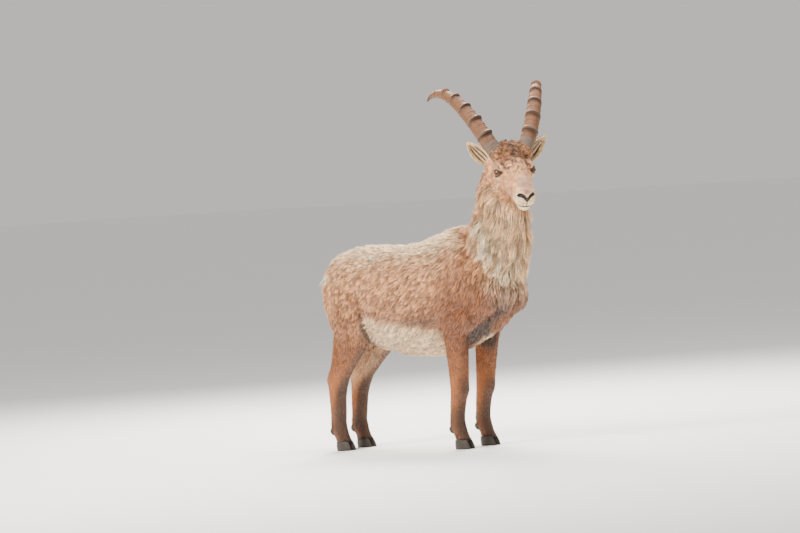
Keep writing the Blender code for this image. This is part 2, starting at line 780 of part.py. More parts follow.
def lids(side, sign):
    """The rim of both lids round the eye, thicker above, its front corner lower than its rear one."""
    axis = Vector((EYE_AXIS.x, sign * EYE_AXIS.y, EYE_AXIS.z))
    corners = Vector((1, 0, -0.18))
    along = (corners - axis * corners.dot(axis)).normalized()
    up = along.cross(axis) * (1 if along.cross(axis).z > 0 else -1)
    points = []
    thickness = []
    for k in range(20):
        t = 2 * math.pi * k / 20
        u = 0.0165 * math.cos(t)
        w = (0.0115 if math.sin(t) > 0 else 0.0105) * math.sin(t)
        out = math.sqrt(max((EYE_RADIUS + 0.0005) ** 2 - u * u - w * w, 0.0))
        points.append(HEAD @ (eye_centre(sign) + along * u + up * w + axis * out))
        thickness.append(0.0036 if math.sin(t) > 0.1 else 0.0028)
    return loop_tube(f"lids_{side}", points, thickness)


def mouth_cut():
    """The line between the lips, from one corner round the front of the muzzle to the other."""
    points = []
    for k in range(19):
        t = math.pi * (k / 18 - 0.5)
        reach = math.cos(t)
        x = 0.128 + 0.052 * reach**0.7
        y = 0.047 * math.sin(t)
        points.append(Vector((x, y, -0.0535 + 0.004 * reach - 0.003 * (1 - reach))))
    bm = bmesh.new()
    rings = []
    for point in points:
        inner = Vector((point.x - 0.010, point.y * 0.76, point.z))
        outer = Vector((point.x + 0.006, point.y * 1.16, point.z))
        offsets = ((outer, 0.0022), (inner, 0.0006))
        ring = [bm.verts.new(HEAD @ (at + Vector((0, 0, high)))) for at, high in offsets]
        ring += [bm.verts.new(HEAD @ (at - Vector((0, 0, high)))) for at, high in offsets[::-1]]
        rings.append(ring)
    skin_rings(bm, rings)
    return place("mouth", bm)


def nostril_cut(side, sign):
    """A comma-shaped slit that opens forward and to the side and curls up at its outer end."""
    stations = (
        (Vector((0.198, sign * 0.005, -0.024)), 0.0036, 0.0030),
        (Vector((0.193, sign * 0.012, -0.016)), 0.0056, 0.0050),
        (Vector((0.186, sign * 0.020, -0.010)), 0.0060, 0.0056),
        (Vector((0.176, sign * 0.027, -0.009)), 0.0044, 0.0042),
        (Vector((0.166, sign * 0.031, -0.014)), 0.0016, 0.0016),
    )
    return tube(f"nostril_{side}", stations, 8, HEAD)


def finish_head(head):
    """Adds the lids and cuts the eye sockets, the mouth and the nostrils."""
    for side, sign in SIDES.items():
        boolean(head, lids(side, sign), "UNION")
    for side, sign in SIDES.items():
        bm = bmesh.new()
        bmesh.ops.create_icosphere(bm, subdivisions=3, radius=EYE_RADIUS + GAP * 1.4)
        bm.transform(HEAD @ Matrix.Translation(eye_centre(sign)))
        boolean(head, place(f"socket_{side}", bm), "DIFFERENCE")
        boolean(head, nostril_cut(side, sign), "DIFFERENCE")
    boolean(head, mouth_cut(), "DIFFERENCE")
    return keep_largest(head)


def claw(name, x, y, sign):
    """One half of a cloven hoof: flat sole, sloped toe and an inner side that faces its twin."""
    bm = bmesh.new()
    rings = []
    for level, length, width, shift in (
        (0.0, 1.0, 1.0, 0.0),
        (0.35, 0.97, 1.02, -0.002),
        (0.75, 0.86, 0.98, -0.006),
        (1.0, 0.76, 0.92, -0.009),
    ):
        ring = []
        for k in range(12):
            t = 2 * math.pi * k / 12
            along = math.cos(t) * HOOF_LENGTH / 2 * length
            toe = 1.0 - 0.45 * max(0.0, math.cos(t)) ** 2
            across = math.sin(t) * HOOF_WIDTH / 2 * width * toe
            if sign * across < 0:
                across *= 0.72
            ring.append(bm.verts.new((x + shift + along, y + across, level * HOOF_HEIGHT)))
        rings.append(ring)
    skin_rings(bm, rings)
    return place(name, bm, PARTS)


def dewclaw(name, x, y, z, leg_swollen):
    """A small horn button behind the fetlock, cut clear of the leg it sits on."""
    bm = bmesh.new()
    bmesh.ops.create_icosphere(bm, subdivisions=1, radius=1)
    lean = Matrix.Rotation(math.radians(-28), 4, "Y")
    bm.transform(Matrix.Translation((x, y, z)) @ lean @ Matrix.Diagonal((*DEWCLAW, 1)))
    made = place(name, bm, PARTS)
    boolean(made, leg_swollen, "DIFFERENCE")
    return keep_largest(made)


def hooves(legs):
    """Two claws under each foot and two dewclaws behind it, and the leg cut level with the claws' tops."""
    feet = {
        "foreleg_right": (FORE_X + 0.027, -FORE_Y, 0.049),
        "foreleg_left": (FORE_X + 0.027, FORE_Y, 0.049),
        "hindleg_right": (HIND_X + 0.022, -HIND_Y, 0.052),
        "hindleg_left": (HIND_X + 0.022 + HIND_STEP, HIND_Y, 0.052),
    }
    above = half_space("above_hooves", (0, 0, HOOF_HEIGHT + GAP), (0, 0, 1))
    for leg, (x, y, behind) in feet.items():
        boolean(legs[leg], above, "INTERSECT")
        keep_largest(legs[leg])
        leg_swollen = swollen(legs[leg], "leg_swollen")
        for half, sign in (("outer", math.copysign(1, y)), ("inner", -math.copysign(1, y))):
            hoof = leg.replace("leg", "hoof")
            claw(f"{hoof}_{half}", x, y + sign * (HOOF_WIDTH * 0.37 + 0.0035), sign)
            dew = leg.replace("leg", "dewclaw")
            dewclaw(f"{dew}_{half}", x - behind, y + sign * 0.016, 0.071, leg_swollen)


def tail(torso, draw):
    """A short hanging tail with a dark tuft of locks round its lower half."""
    stations = (
        ((-0.440, 0, 0.690), 0.028, 0.026),
        ((-0.482, 0, 0.670), 0.025, 0.021),
        ((-0.508, 0, 0.630), 0.022, 0.016),
        ((-0.522, 0, 0.585), 0.018, 0.013),
        ((-0.529, 0, 0.545), 0.012, 0.009),
        ((-0.532, 0, 0.520), 0.005, 0.004),
    )
    made = tube("tail", stations, 12, collection=PARTS)
    surface = surface_of(made)
    for k in range(6):
        angle = 2 * math.pi * (k + 0.5 * (k // 3)) / 3 + 0.3
        middle = Vector((-0.506 - 0.010 * (k // 3), 0, 0.618 - 0.034 * (k // 3)))
        seed = seed_round(surface, middle, angle, 0.1)
        lock(surface, seed, (-0.2, 0, -1), draw.uniform(0.062, 0.074), 0.017, 0.009)
    fuse_locks(made)
    boolean(made, swollen(torso, "torso_swollen"), "DIFFERENCE")
    return keep_largest(made)


def paint(colours):
    for made in PARTS.objects:
        colour, rough = next(value for key, value in colours.items() if made.name.startswith(key))
        material = bpy.data.materials.new(made.name)
        material.use_nodes = True
        shader = material.node_tree.nodes["Principled BSDF"]
        shader.inputs["Base Color"].default_value = (*colour, 1)
        shader.inputs["Roughness"].default_value = rough
        shader.inputs["Metallic"].default_value = 0.0
        made.data.materials.clear()
        made.data.materials.append(material)
        made.data.shade_smooth()
        made.data.set_sharp_from_angle(angle=math.radians(50))


def stand_on_origin():
    """Moves all parts together, so that the origin is under the middle of their box, on the floor."""
    corners = [v.co for made in PARTS.objects for v in made.data.vertices]
    middle = [(max(c[i] for c in corners) + min(c[i] for c in corners)) / 2 for i in (0, 1)]
    floor = min(c.z for c in corners)
    for made in PARTS.objects:
        made.data.transform(Matrix.Translation((-middle[0], -middle[1], -floor)))
    return Vector((-middle[0], -middle[1], -floor))


nodes, surface = flesh()
draw = random.Random(LOCK_SEED)
breast_coat(surface, draw)
belly_coat(surface, draw)
fuse_locks(nodes["torso"])
neck_coat(surface, draw)
torn_clumps(surface, draw)
fuse_locks(nodes["neck"], (nodes["torso"],))
finish_head(nodes["head"])
head_coat(surface, draw)
fuse_locks(nodes["head"], (nodes["neck"],))
for side, sign in SIDES.items():
    eye(side, sign)
head_swollen = swollen(nodes["head"], "head_swollen")
for side, sign in SIDES.items():
    horn(side, sign, head_swollen)
    ear(side, sign, head_swollen)
hooves(nodes)
tail(nodes["torso"], draw)
paint(
    {
        "torso": ((0.50, 0.31, 0.19), 0.85),
        "neck": ((0.62, 0.45, 0.30), 0.85),
        "head": ((0.58, 0.38, 0.24), 0.80),
        "foreleg": ((0.42, 0.22, 0.12), 0.85),
        "hindleg": ((0.45, 0.25, 0.14), 0.85),
        "tail": ((0.16, 0.09, 0.06), 0.85),
        "ear": ((0.60, 0.48, 0.36), 0.80),
        "horn": ((0.38, 0.25, 0.16), 0.55),
        "eye": ((0.20, 0.09, 0.03), 0.10),
        "forehoof": ((0.10, 0.08, 0.07), 0.50),
        "hindhoof": ((0.10, 0.08, 0.07), 0.50),
        "foredewclaw": ((0.10, 0.08, 0.07), 0.50),
        "hinddewclaw": ((0.10, 0.08, 0.07), 0.50),
    }
)
SHIFT = stand_on_origin()
for helper in list(CUTTERS.objects):
    bpy.data.objects.remove(helper, do_unlink=True)
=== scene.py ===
"""An alpine ibex, a young male of about three years, half out of its winter coat.

Metres, +Z up. One skin lies under a coat of tufts, and the eyes, horns and hooves are pieces of
their own. The animal faces +X and its left side is +Y.
"""

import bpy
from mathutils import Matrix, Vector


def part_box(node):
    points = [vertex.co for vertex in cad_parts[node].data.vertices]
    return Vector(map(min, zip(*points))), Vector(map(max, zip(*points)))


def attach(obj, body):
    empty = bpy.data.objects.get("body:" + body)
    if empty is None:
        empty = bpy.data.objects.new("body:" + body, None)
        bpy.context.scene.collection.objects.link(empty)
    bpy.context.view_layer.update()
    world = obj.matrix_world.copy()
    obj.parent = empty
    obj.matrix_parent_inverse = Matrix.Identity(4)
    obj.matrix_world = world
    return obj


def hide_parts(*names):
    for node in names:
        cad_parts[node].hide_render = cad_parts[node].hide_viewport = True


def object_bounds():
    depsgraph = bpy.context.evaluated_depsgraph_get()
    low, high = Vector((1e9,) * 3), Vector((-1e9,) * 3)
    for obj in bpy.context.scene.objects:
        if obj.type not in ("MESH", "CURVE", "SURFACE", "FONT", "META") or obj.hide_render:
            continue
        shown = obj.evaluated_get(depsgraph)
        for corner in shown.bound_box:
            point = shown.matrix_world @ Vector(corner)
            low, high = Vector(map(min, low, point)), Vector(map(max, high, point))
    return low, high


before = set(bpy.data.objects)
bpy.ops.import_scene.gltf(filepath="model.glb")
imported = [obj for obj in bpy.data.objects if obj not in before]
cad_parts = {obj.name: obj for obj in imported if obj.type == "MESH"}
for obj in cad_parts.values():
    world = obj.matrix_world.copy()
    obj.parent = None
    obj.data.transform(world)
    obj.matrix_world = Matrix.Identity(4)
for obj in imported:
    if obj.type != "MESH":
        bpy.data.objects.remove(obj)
cad_box = [list(corner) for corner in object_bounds()]

import math

import bmesh
import bpy
import numpy as np
from mathutils import Matrix, Vector, noise
from mathutils.bvhtree import BVHTree

# Skin. The real one is a single hide over bone and muscle. Here it starts as rounded forms for
# each mass of the body, bridged from rings or stretched from spheres, which are then joined,
# closed into one surface and smoothed.
SIDES = {"right": -1, "left": 1}
EYE_AT = Vector((0.012, 0.06, 0.002))
VOXEL = 0.0034
SKIN_ENDS = 0.0346


def turned(degrees, axis):
    return Matrix.Rotation(math.radians(degrees), 4, axis)


# the head's own frame: midway between the eyes, turned to the camera, nodding and tilted
head_own = Matrix.Translation((0.447, -0.045, 1.0)) @ (turned(-37, "Z") @ turned(26, "Y")) @ turned(1.4, "X")
eye_low, eye_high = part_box("eye_right")
eye_own = head_own @ Vector((EYE_AT.x, -EYE_AT.y, EYE_AT.z))
BODY = Matrix.Translation((eye_low + eye_high) / 2 - eye_own)
HEAD = BODY @ head_own
forms = []


def keep_form(made, frame_of):
    made.matrix_world = frame_of @ made.matrix_world
    bpy.ops.object.transform_apply(location=True, rotation=True, scale=True)
    forms.append(made)


def apply(piece, kind, **settings):
    """Adds a modifier of this kind to a piece, sets it and applies it."""
    modifier = piece.modifiers.new(kind.lower(), kind)
    for key, value in settings.items():
        setattr(modifier, key, value)
    bpy.context.view_layer.objects.active = piece
    bpy.ops.object.modifier_apply(modifier=modifier.name)


def edit_all(*steps):
    """Runs each step in edit mode, with everything selected."""
    bpy.ops.object.mode_set(mode="EDIT")
    for step in steps:
        bpy.ops.mesh.select_all(action="SELECT")
        step()
    bpy.ops.object.mode_set(mode="OBJECT")


def new_sphere(segments, rings, **settings):
    """A sphere, with nothing else selected."""
    bpy.ops.object.select_all(action="DESELECT")
    bpy.ops.mesh.primitive_uv_sphere_add(segments=segments, ring_count=rings, **settings)
    return bpy.context.object


def rings_form(stations, sides=20, frame_of=BODY):
    """A closed form bridged through rings: (centre, half width, half depth) at each station."""
    bpy.ops.object.select_all(action="DESELECT")
    centres = [Vector(station[0]) for station in stations]
    circles = []
    for i, (_, across, deep) in enumerate(stations):
        ahead = (centres[min(i + 1, len(centres) - 1)] - centres[max(i - 1, 0)]).normalized()
        lateral = (Vector((0, 1, 0)) - ahead * ahead.y).normalized()
        turn = Matrix((lateral, lateral.cross(ahead), -ahead)).transposed()
        bpy.ops.mesh.primitive_circle_add(vertices=sides, location=centres[i], rotation=turn.to_euler())
        circles.append(bpy.context.object)
        circles[-1].scale = (across, deep, 1)
    for circle in circles:
        circle.select_set(True)
    bpy.ops.object.join()
    made = bpy.context.object
    bpy.ops.object.transform_apply(location=True, rotation=True, scale=True)
    edit_all(
        bpy.ops.mesh.bridge_edge_loops,
        lambda: bpy.ops.mesh.fill_holes(sides=0),
        bpy.ops.mesh.normals_make_consistent,
    )
    keep_form(made, frame_of)


def ball_form(centre, radii, lean=0.0, frame_of=BODY):
    """A sphere stretched to these radii and leant about Y."""
    made = new_sphere(24, 16, location=centre, rotation=(0, math.radians(lean), 0))
    made.scale = radii
    bpy.context.view_layer.update()
    keep_form(made, frame_of)


# along the trunk: place, top, bottom, half width
trunk = (
    (-0.484, 0.64, 0.565, 0.045),
    (-0.462, 0.695, 0.515, 0.085),
    (-0.41, 0.737, 0.46, 0.118),
    (-0.33, 0.757, 0.425, 0.131),
    (-0.225, 0.757, 0.374, 0.138),
    (-0.11, 0.752, 0.343, 0.149),
    (0.0, 0.764, 0.338, 0.152),
    (0.085, 0.786, 0.352, 0.146),
    (0.16, 0.812, 0.382, 0.134),
    (0.23, 0.8, 0.406, 0.12),
    (0.3, 0.755, 0.44, 0.108),
    (0.35, 0.7, 0.49, 0.088),
    (0.382, 0.64, 0.55, 0.05),
)
rings_form([((x, 0, (top + low) / 2), half, (top - low) / 2) for x, top, low, half in trunk], 28)
rings_form([((x, 0, top - 0.034), 0.05, 0.034) for x, top, _, _ in trunk[2:10]], 16)
ball_form((-0.39, 0, 0.632), (0.095, 0.116, 0.108))
ball_form((0.345, 0, 0.56), (0.062, 0.07, 0.08))
keel = (
    ((0.08, 0, 0.368), 0.035, 0.022),
    ((0.17, 0, 0.396), 0.026, 0.024),
    ((0.25, 0, 0.43), 0.024, 0.026),
    ((0.32, 0, 0.48), 0.024, 0.026),
    ((0.37, 0, 0.54), 0.02, 0.02),
)
rings_form(keel, 12)
neck = (
    ((0.225, 0.0, 0.63), 0.098, 0.15),
    ((0.285, 0.0, 0.7), 0.098, 0.146),
    ((0.328, -0.002, 0.775), 0.088, 0.124),
    ((0.342, -0.004, 0.85), 0.077, 0.108),
    ((0.352, -0.006, 0.92), 0.069, 0.096),
    ((0.366, -0.006, 0.985), 0.062, 0.082),
    ((0.376, -0.006, 1.02), 0.054, 0.068),
)
rings_form(neck, 24)
tail = (
    ((-0.44, 0, 0.69), 0.028, 0.026),
    ((-0.482, 0, 0.67), 0.025, 0.021),
    ((-0.508, 0, 0.63), 0.022, 0.016),
    ((-0.522, 0, 0.585), 0.018, 0.013),
    ((-0.529, 0, 0.545), 0.012, 0.009),
    ((-0.532, 0, 0.52), 0.006, 0.005),
)
rings_form(tail, 12)
FORE = Vector((0.13, 0.074))
HIND = Vector((-0.438, 0.072))
LEFT_STEP = -0.022
# down a foreleg and a hind leg: place from the foot, spread, height, half width, half depth
foreleg = (
    (0.045, 1.26, 0.5, 0.045, 0.068),
    (0.036, 1.24, 0.44, 0.043, 0.059),
    (0.03, 1.18, 0.385, 0.039, 0.05),
    (0.026, 1.1, 0.315, 0.036, 0.044),
    (0.022, 1.04, 0.255, 0.035, 0.041),
    (0.02, 1.01, 0.216, 0.035, 0.04),
    (0.01, 1.0, 0.182, 0.031, 0.034),
    (0.003, 1.0, 0.14, 0.028, 0.032),
    (0.0, 1.0, 0.105, 0.027, 0.031),
    (0.001, 1.0, 0.08, 0.029, 0.034),
    (0.013, 1.0, 0.052, 0.027, 0.029),
    (0.02, 1.0, 0.03, 0.029, 0.032),
    (0.023, 1.0, 0.015, 0.028, 0.032),
)
hindleg = (
    (0.135, 1.24, 0.52, 0.047, 0.104),
    (0.116, 1.24, 0.46, 0.046, 0.094),
    (0.082, 1.2, 0.4, 0.042, 0.079),
    (0.052, 1.14, 0.345, 0.037, 0.06),
    (0.022, 1.08, 0.29, 0.033, 0.047),
    (0.003, 1.04, 0.242, 0.033, 0.044),
    (-0.002, 1.02, 0.2, 0.031, 0.038),
    (-0.004, 1.0, 0.15, 0.031, 0.035),
    (-0.006, 1.0, 0.105, 0.029, 0.033),
    (-0.006, 1.0, 0.08, 0.031, 0.036),
    (0.006, 1.0, 0.052, 0.028, 0.031),
    (0.014, 1.0, 0.03, 0.029, 0.032),
    (0.018, 1.0, 0.015, 0.028, 0.032),
)
hock = (
    (0.02, 1.1, 0.335, 0.012, 0.014),
    (-0.02, 1.06, 0.295, 0.014, 0.016),
    (-0.036, 1.04, 0.262, 0.016, 0.015),
    (-0.024, 1.04, 0.222, 0.014, 0.014),
)
haunch = (
    (0.092, 1.12, 0.555, (0.112, 0.056, 0.16), 8),
    (0.012, 0.8, 0.585, (0.055, 0.055, 0.12), 4),
    (0.172, 1.26, 0.47, (0.052, 0.04, 0.064), 22),
)
for side, sign in SIDES.items():
    ball_form((0.215, sign * 0.086, 0.61), (0.085, 0.05, 0.165), -20)
    ball_form((0.292, sign * 0.08, 0.56), (0.07, 0.05, 0.082), -25)
    ball_form((0.205, sign * 0.094, 0.48), (0.078, 0.044, 0.06), -32)
    rings_form([((FORE.x + x, sign * FORE.y * y, z), half, deep) for x, y, z, half, deep in foreleg])
    step = LEFT_STEP if side == "left" else 0.0

    def on_hindleg(x, y, z):
        stepped = step * max(0.0, min(1.0, (0.6 - z) / 0.5))
        return (HIND.x + x + stepped, sign * HIND.y * y, z)

    for x, y, z, radii, lean in haunch:
        ball_form(on_hindleg(x, y, z), radii, lean)
    rings_form([(on_hindleg(x, y, z), half, deep) for x, y, z, half, deep in hindleg])
    rings_form([(on_hindleg(x, y, z), half, deep) for x, y, z, half, deep in hock], 12)
# along the face, in the head's own frame: place, top, bottom, half width
face = (
    (-0.128, 0.036, -0.056, 0.044),
    (-0.1, 0.064, -0.082, 0.061),
    (-0.055, 0.076, -0.094, 0.067),
    (-0.005, 0.062, -0.09, 0.064),
    (0.04, 0.047, -0.082, 0.053),
    (0.08, 0.035, -0.078, 0.046),
    (0.118, 0.026, -0.077, 0.042),
    (0.15, 0.018, -0.076, 0.04),
    (0.174, 0.008, -0.064, 0.034),
    (0.188, -0.004, -0.046, 0.02),
)
rings_form([((x, 0, (top + low) / 2), half, (top - low) / 2) for x, top, low, half in face], 24, HEAD)
for centre, radii in (
    ((-0.056, 0, 0.048), (0.06, 0.054, 0.036)),
    ((0.172, 0, -0.008), (0.022, 0.027, 0.022)),
    ((0.142, 0, -0.068), (0.032, 0.025, 0.021)),
    ((-0.04, 0, -0.074), (0.07, 0.054, 0.046)),
):
    ball_form(centre, radii, frame_of=HEAD)
for sign in SIDES.values():
    for (x, y, z), radii in (
        ((-0.002, 0.054, 0.024), (0.038, 0.015, 0.013)),
        ((0.005, 0.059, 0.001), (0.033, 0.0165, 0.027)),
        ((-0.034, 0.046, -0.046), (0.056, 0.024, 0.044)),
        ((0.154, 0.021, -0.034), (0.032, 0.02, 0.026)),
        ((-0.06, 0.048, 0.046), (0.042, 0.034, 0.034)),
        ((-0.084, 0.062, -0.006), (0.028, 0.022, 0.028)),
    ):
        ball_form((x, sign * y, z), radii, frame_of=HEAD)

bpy.ops.object.select_all(action="DESELECT")
for made in forms:
    made.select_set(True)
bpy.context.view_layer.objects.active = forms[0]
bpy.ops.object.join()
skin = bpy.context.object
skin.name = skin.data.name = "skin"
apply(skin, "REMESH", mode="VOXEL", voxel_size=VOXEL)


def rows_of(mesh, kind):
    flat = np.zeros(len(mesh.vertices) * 3, np.float32)
    mesh.vertices.foreach_get(kind, flat)
    return flat.reshape(-1, 3)


def carried(points, matrix):
    """Points moved by a matrix."""
    turn = np.array(matrix)
    return points @ turn[:3, :3].T + turn[:3, 3]


def points_of(mesh, frame_of=BODY):
    """The vertices of a mesh in one of the frames, as rows."""
    return carried(rows_of(mesh, "co"), frame_of.inverted())


def lengths(rows):
    return np.linalg.norm(rows, axis=1)


def limit(values):
    return np.clip(values, 0, 1)


def ease(value, low, high):
    """0 below low, 1 above high and smooth between."""
    t = limit((value - low) / (high - low))
    return t * t * (3 - 2 * t)


def smooth_by(weights, rounds):
    """The Smooth modifier on the skin, by a weight for each vertex."""
    group = skin.vertex_groups.new(name="soft")
    levels = np.round(weights * 20).astype(int)
    for level in range(1, 21):
        group.add(np.nonzero(levels == level)[0].tolist(), level / 20, "REPLACE")
    apply(skin, "SMOOTH", vertex_group="soft", factor=0.5, iterations=rounds)
    skin.vertex_groups.remove(skin.vertex_groups["soft"])


own = points_of(skin.data)
from_eyes = lengths(points_of(skin.data, HEAD))
smooth_by(limit((own[:, 2] - 0.22) / 0.18) * limit((from_eyes - 0.15) / 0.08), 60)
smooth_by(np.ones(len(own)), 5)


def choose_faces(test):
    """Edit mode on the skin, with the faces selected whose middles pass the test."""
    bpy.context.view_layer.objects.active = skin
    bpy.ops.object.mode_set(mode="EDIT")
    bpy.ops.mesh.select_mode(type="FACE")
    bm = bmesh.from_edit_mesh(skin.data)
    middles = np.array([face.calc_center_median() for face in bm.faces])
    for face, chosen in zip(bm.faces, test(middles)):
        face.select = bool(chosen)
    bm.select_flush_mode()
    bmesh.update_edit_mesh(skin.data)


def near_face(points):
    """The muzzle and the skin round each eye."""
    at = carried(points, HEAD.inverted())
    muzzle = (at[:, 0] > 0.128) & (lengths(at) < 0.24)
    eyes = lengths(at * [1, 0, 1] - [EYE_AT.x, 0, EYE_AT.z]) < 0.03
    return muzzle | (eyes & (np.abs(at[:, 1]) > 0.03) & (np.abs(at[:, 1]) < 0.12))


def on_head(points):
    at = carried(points, HEAD.inverted())
    return (lengths(at - [0.03, 0, 0]) < 0.185) & (at[:, 0] > -0.12)


choose_faces(near_face)
bpy.ops.mesh.subdivide(number_cuts=3, smoothness=0)
edit_all(bpy.ops.mesh.quads_convert_to_tris)
choose_faces(lambda points: ~on_head(points))
bpy.ops.mesh.decimate(ratio=0.09)
bpy.ops.mesh.select_all(action="SELECT")
bpy.ops.mesh.bisect(plane_co=(0, 0, SKIN_ENDS), plane_no=(0, 0, 1), use_fill=True, clear_inner=True)
bpy.ops.object.mode_set(mode="OBJECT")
smooth_by(ease(0.24 - lengths(points_of(skin.data, HEAD)), 0, 0.05), 6)

# Ears. Each is a leaf of gristle under thin skin, curled into a cup that opens to the front and
# side, thick at its root and thin at its edge. They are joined onto the skin and softened there.
EAR_LENGTH = 0.122
EAR_HALF_WIDTH = 0.034
AS_MADE = Matrix.Identity(4)
ear_frames = {}


def put(data, key, rows):
    data.foreach_set(key, np.asarray(rows, np.float32).ravel())


def ear_form(level):
    """At a level from root (0) to tip (1): how far the ear curls round, on what bend, and its dip."""
    curl = 1.75 - 0.95 * level
    half = EAR_HALF_WIDTH * np.sin(math.pi * (0.13 + 0.855 * level)) ** 0.8
    return curl, half / curl, 0.01 * np.sin(math.pi * level)


for side, sign in SIDES.items():
    seat = Matrix.Translation((-0.084, sign * 0.064, -0.014)) @ turned(-22, "Y")
    ear_frames[side] = HEAD @ seat @ (turned(-sign * 42, "X") @ turned(sign * 12, "Z"))
    bpy.ops.object.select_all(action="DESELECT")
    bpy.ops.mesh.primitive_grid_add(x_subdivisions=16, y_subdivisions=30, size=2)
    ear = bpy.context.object
    ear.name = f"ear_{side}"
    leaf = points_of(ear.data, AS_MADE)
    v = (leaf[:, 1] + 1) / 2
    u = leaf[:, 0].copy()
    curl, bend, dip = ear_form(v)
    leaf[:, 0] = bend * (1 - np.cos(u * curl)) - dip
    leaf[:, 1] = bend * np.sin(u * curl)
    leaf[:, 2] = EAR_LENGTH * v
    put(ear.data.vertices, "co", leaf)
    apply(ear, "SOLIDIFY", thickness=0.003, offset=0)
    ear.data.transform(ear_frames[side])
    edit_all(bpy.ops.mesh.normals_make_consistent, bpy.ops.mesh.quads_convert_to_tris)
    bpy.ops.object.select_all(action="DESELECT")
    apply(skin, "BOOLEAN", operation="UNION", solver="MANIFOLD", object=ear)
    bpy.data.objects.remove(ear, do_unlink=True)
edit_all(bpy.ops.mesh.quads_convert_to_tris)
roots = np.zeros(len(skin.data.vertices))
for side in SIDES:
    local = points_of(skin.data, ear_frames[side])
    near_root = ease(0.034 - np.abs(local[:, 2] - 0.016), 0, 0.016)
    roots = np.maximum(roots, near_root * (lengths(local) < 0.06))
smooth_by(roots, 5)

# Face. Under the short hair of the face lie the lids with a fold above and below them, the rim
# of each nostril, the groove from the nose to the lip, the line of the lips and the cheek ridge.
EYE_RADIUS = 0.0172
EYE_AXIS = Vector((0.56, 0.82, 0.08)).normalized()
LID_FORWARD = 0.016
LID_BACK = 0.02
LID_ABOVE = 0.0112
LID_BELOW = 0.0088
own = points_of(skin.data)
at = points_of(skin.data, HEAD)


def normals_of(mesh, frame_of):
    return rows_of(mesh, "normal") @ np.array(frame_of.inverted())[:3, :3].T


def fade(value, low, high):
    """1 below low, 0 above high and smooth between."""
    return 1 - ease(value, low, high)


def nearest_on(points, path):
    """How far each point is from a line through the path, and how far along the line that is."""
    best = np.full(len(points), 1e9)
    share = np.zeros(len(points))
    path = np.array(path, float)
    for i, (a, b) in enumerate(zip(path, path[1:])):
        t = limit((points - a) @ (b - a) / ((b - a) @ (b - a)))
        away = lengths(points - a - t[:, None] * (b - a))
        nearer = away < best
        best = np.where(nearer, away, best)
        share = np.where(nearer, (i + t) / (len(path) - 1), share)
    return best, share


def distance_to(points, path):
    return nearest_on(points, path)[0]


def folded(points):
    """The points of the right side mirrored onto the left."""
    return np.stack([points[:, 0], np.abs(points[:, 1]), points[:, 2]], axis=1)


def bump_at(away, reach):
    return np.exp(-((away / reach) ** 2))


def in_lids(points, side):
    """Below 1 inside the almond of the lids' opening, and 9 off that side of the face."""
    middle, along, up, axis = eye_spots[side]
    off = points - middle
    high = off @ up
    wide = np.abs(off @ along) / np.where(off @ along > 0, LID_FORWARD, LID_BACK)
    almond = np.sqrt(wide**1.7 + (high / np.where(high > 0, LID_ABOVE, LID_BELOW)) ** 2)
    return np.where((off @ axis > 0.002) & (lengths(off) < 0.06), almond, 9.0)


eye_spots = {}
for side, sign in SIDES.items():
    axis = Vector((EYE_AXIS.x, sign * EYE_AXIS.y, EYE_AXIS.z))
    along = Vector((1, 0, 0.5))
    along = (along - axis * along.dot(axis)).normalized()
    up = along.cross(axis)
    up = up if up.z > 0 else -up
    at_eye = (EYE_AT.x, sign * EYE_AT.y, EYE_AT.z)
    eye_spots[side] = [np.array(way) for way in (at_eye, along, up, axis)]


out = normals_of(skin.data, HEAD)
rise = np.zeros(len(at))
from_eyes = lengths(at)
# the coat's own depth is taken off the skin: deepest on the trunk, least on the muzzle and feet
coat_depth = 0.0035 + 0.0035 * ease(own[:, 2], 0.34, 0.48) - 0.0035 * ease(own[:, 0], 0.22, 0.32)
coat_depth = np.where(from_eyes < 0.3, coat_depth * ease(from_eyes, 0.12, 0.24), coat_depth)
coat_depth += 0.0012 * fade(from_eyes, 0.1, 0.14)
on_ear = np.zeros(len(at))
for side in SIDES:
    local = points_of(skin.data, ear_frames[side])
    leaf_form = (np.abs(local[:, 1]) < 0.045) & (local[:, 0] > -0.03) & (local[:, 0] < 0.04)
    on_ear = np.maximum(on_ear, ease(local[:, 2], 0.012, 0.034) * leaf_form)
coat_depth *= 1 - on_ear
# hollows between the masses: before the thigh, behind and before the shoulder, and at the flank
before_thigh = ((-0.315, 0.12, 0.64), (-0.275, 0.135, 0.56), (-0.246, 0.13, 0.48), (-0.236, 0.105, 0.41))
for path, depth, reach in (
    (before_thigh, 0.011, 0.022),
    (((0.16, 0.12, 0.7), (0.112, 0.14, 0.6), (0.084, 0.135, 0.51), (0.086, 0.11, 0.43)), 0.008, 0.024),
    (((0.3, 0.09, 0.68), (0.33, 0.078, 0.6), (0.318, 0.066, 0.51)), 0.007, 0.018),
    (((-0.215, 0.13, 0.67), (-0.16, 0.14, 0.65)), 0.005, 0.045),
    (((-0.4, 0.09, 0.47), (-0.425, 0.09, 0.56)), 0.004, 0.03),
):
    rise -= depth * bump_at(distance_to(folded(own), path), reach)
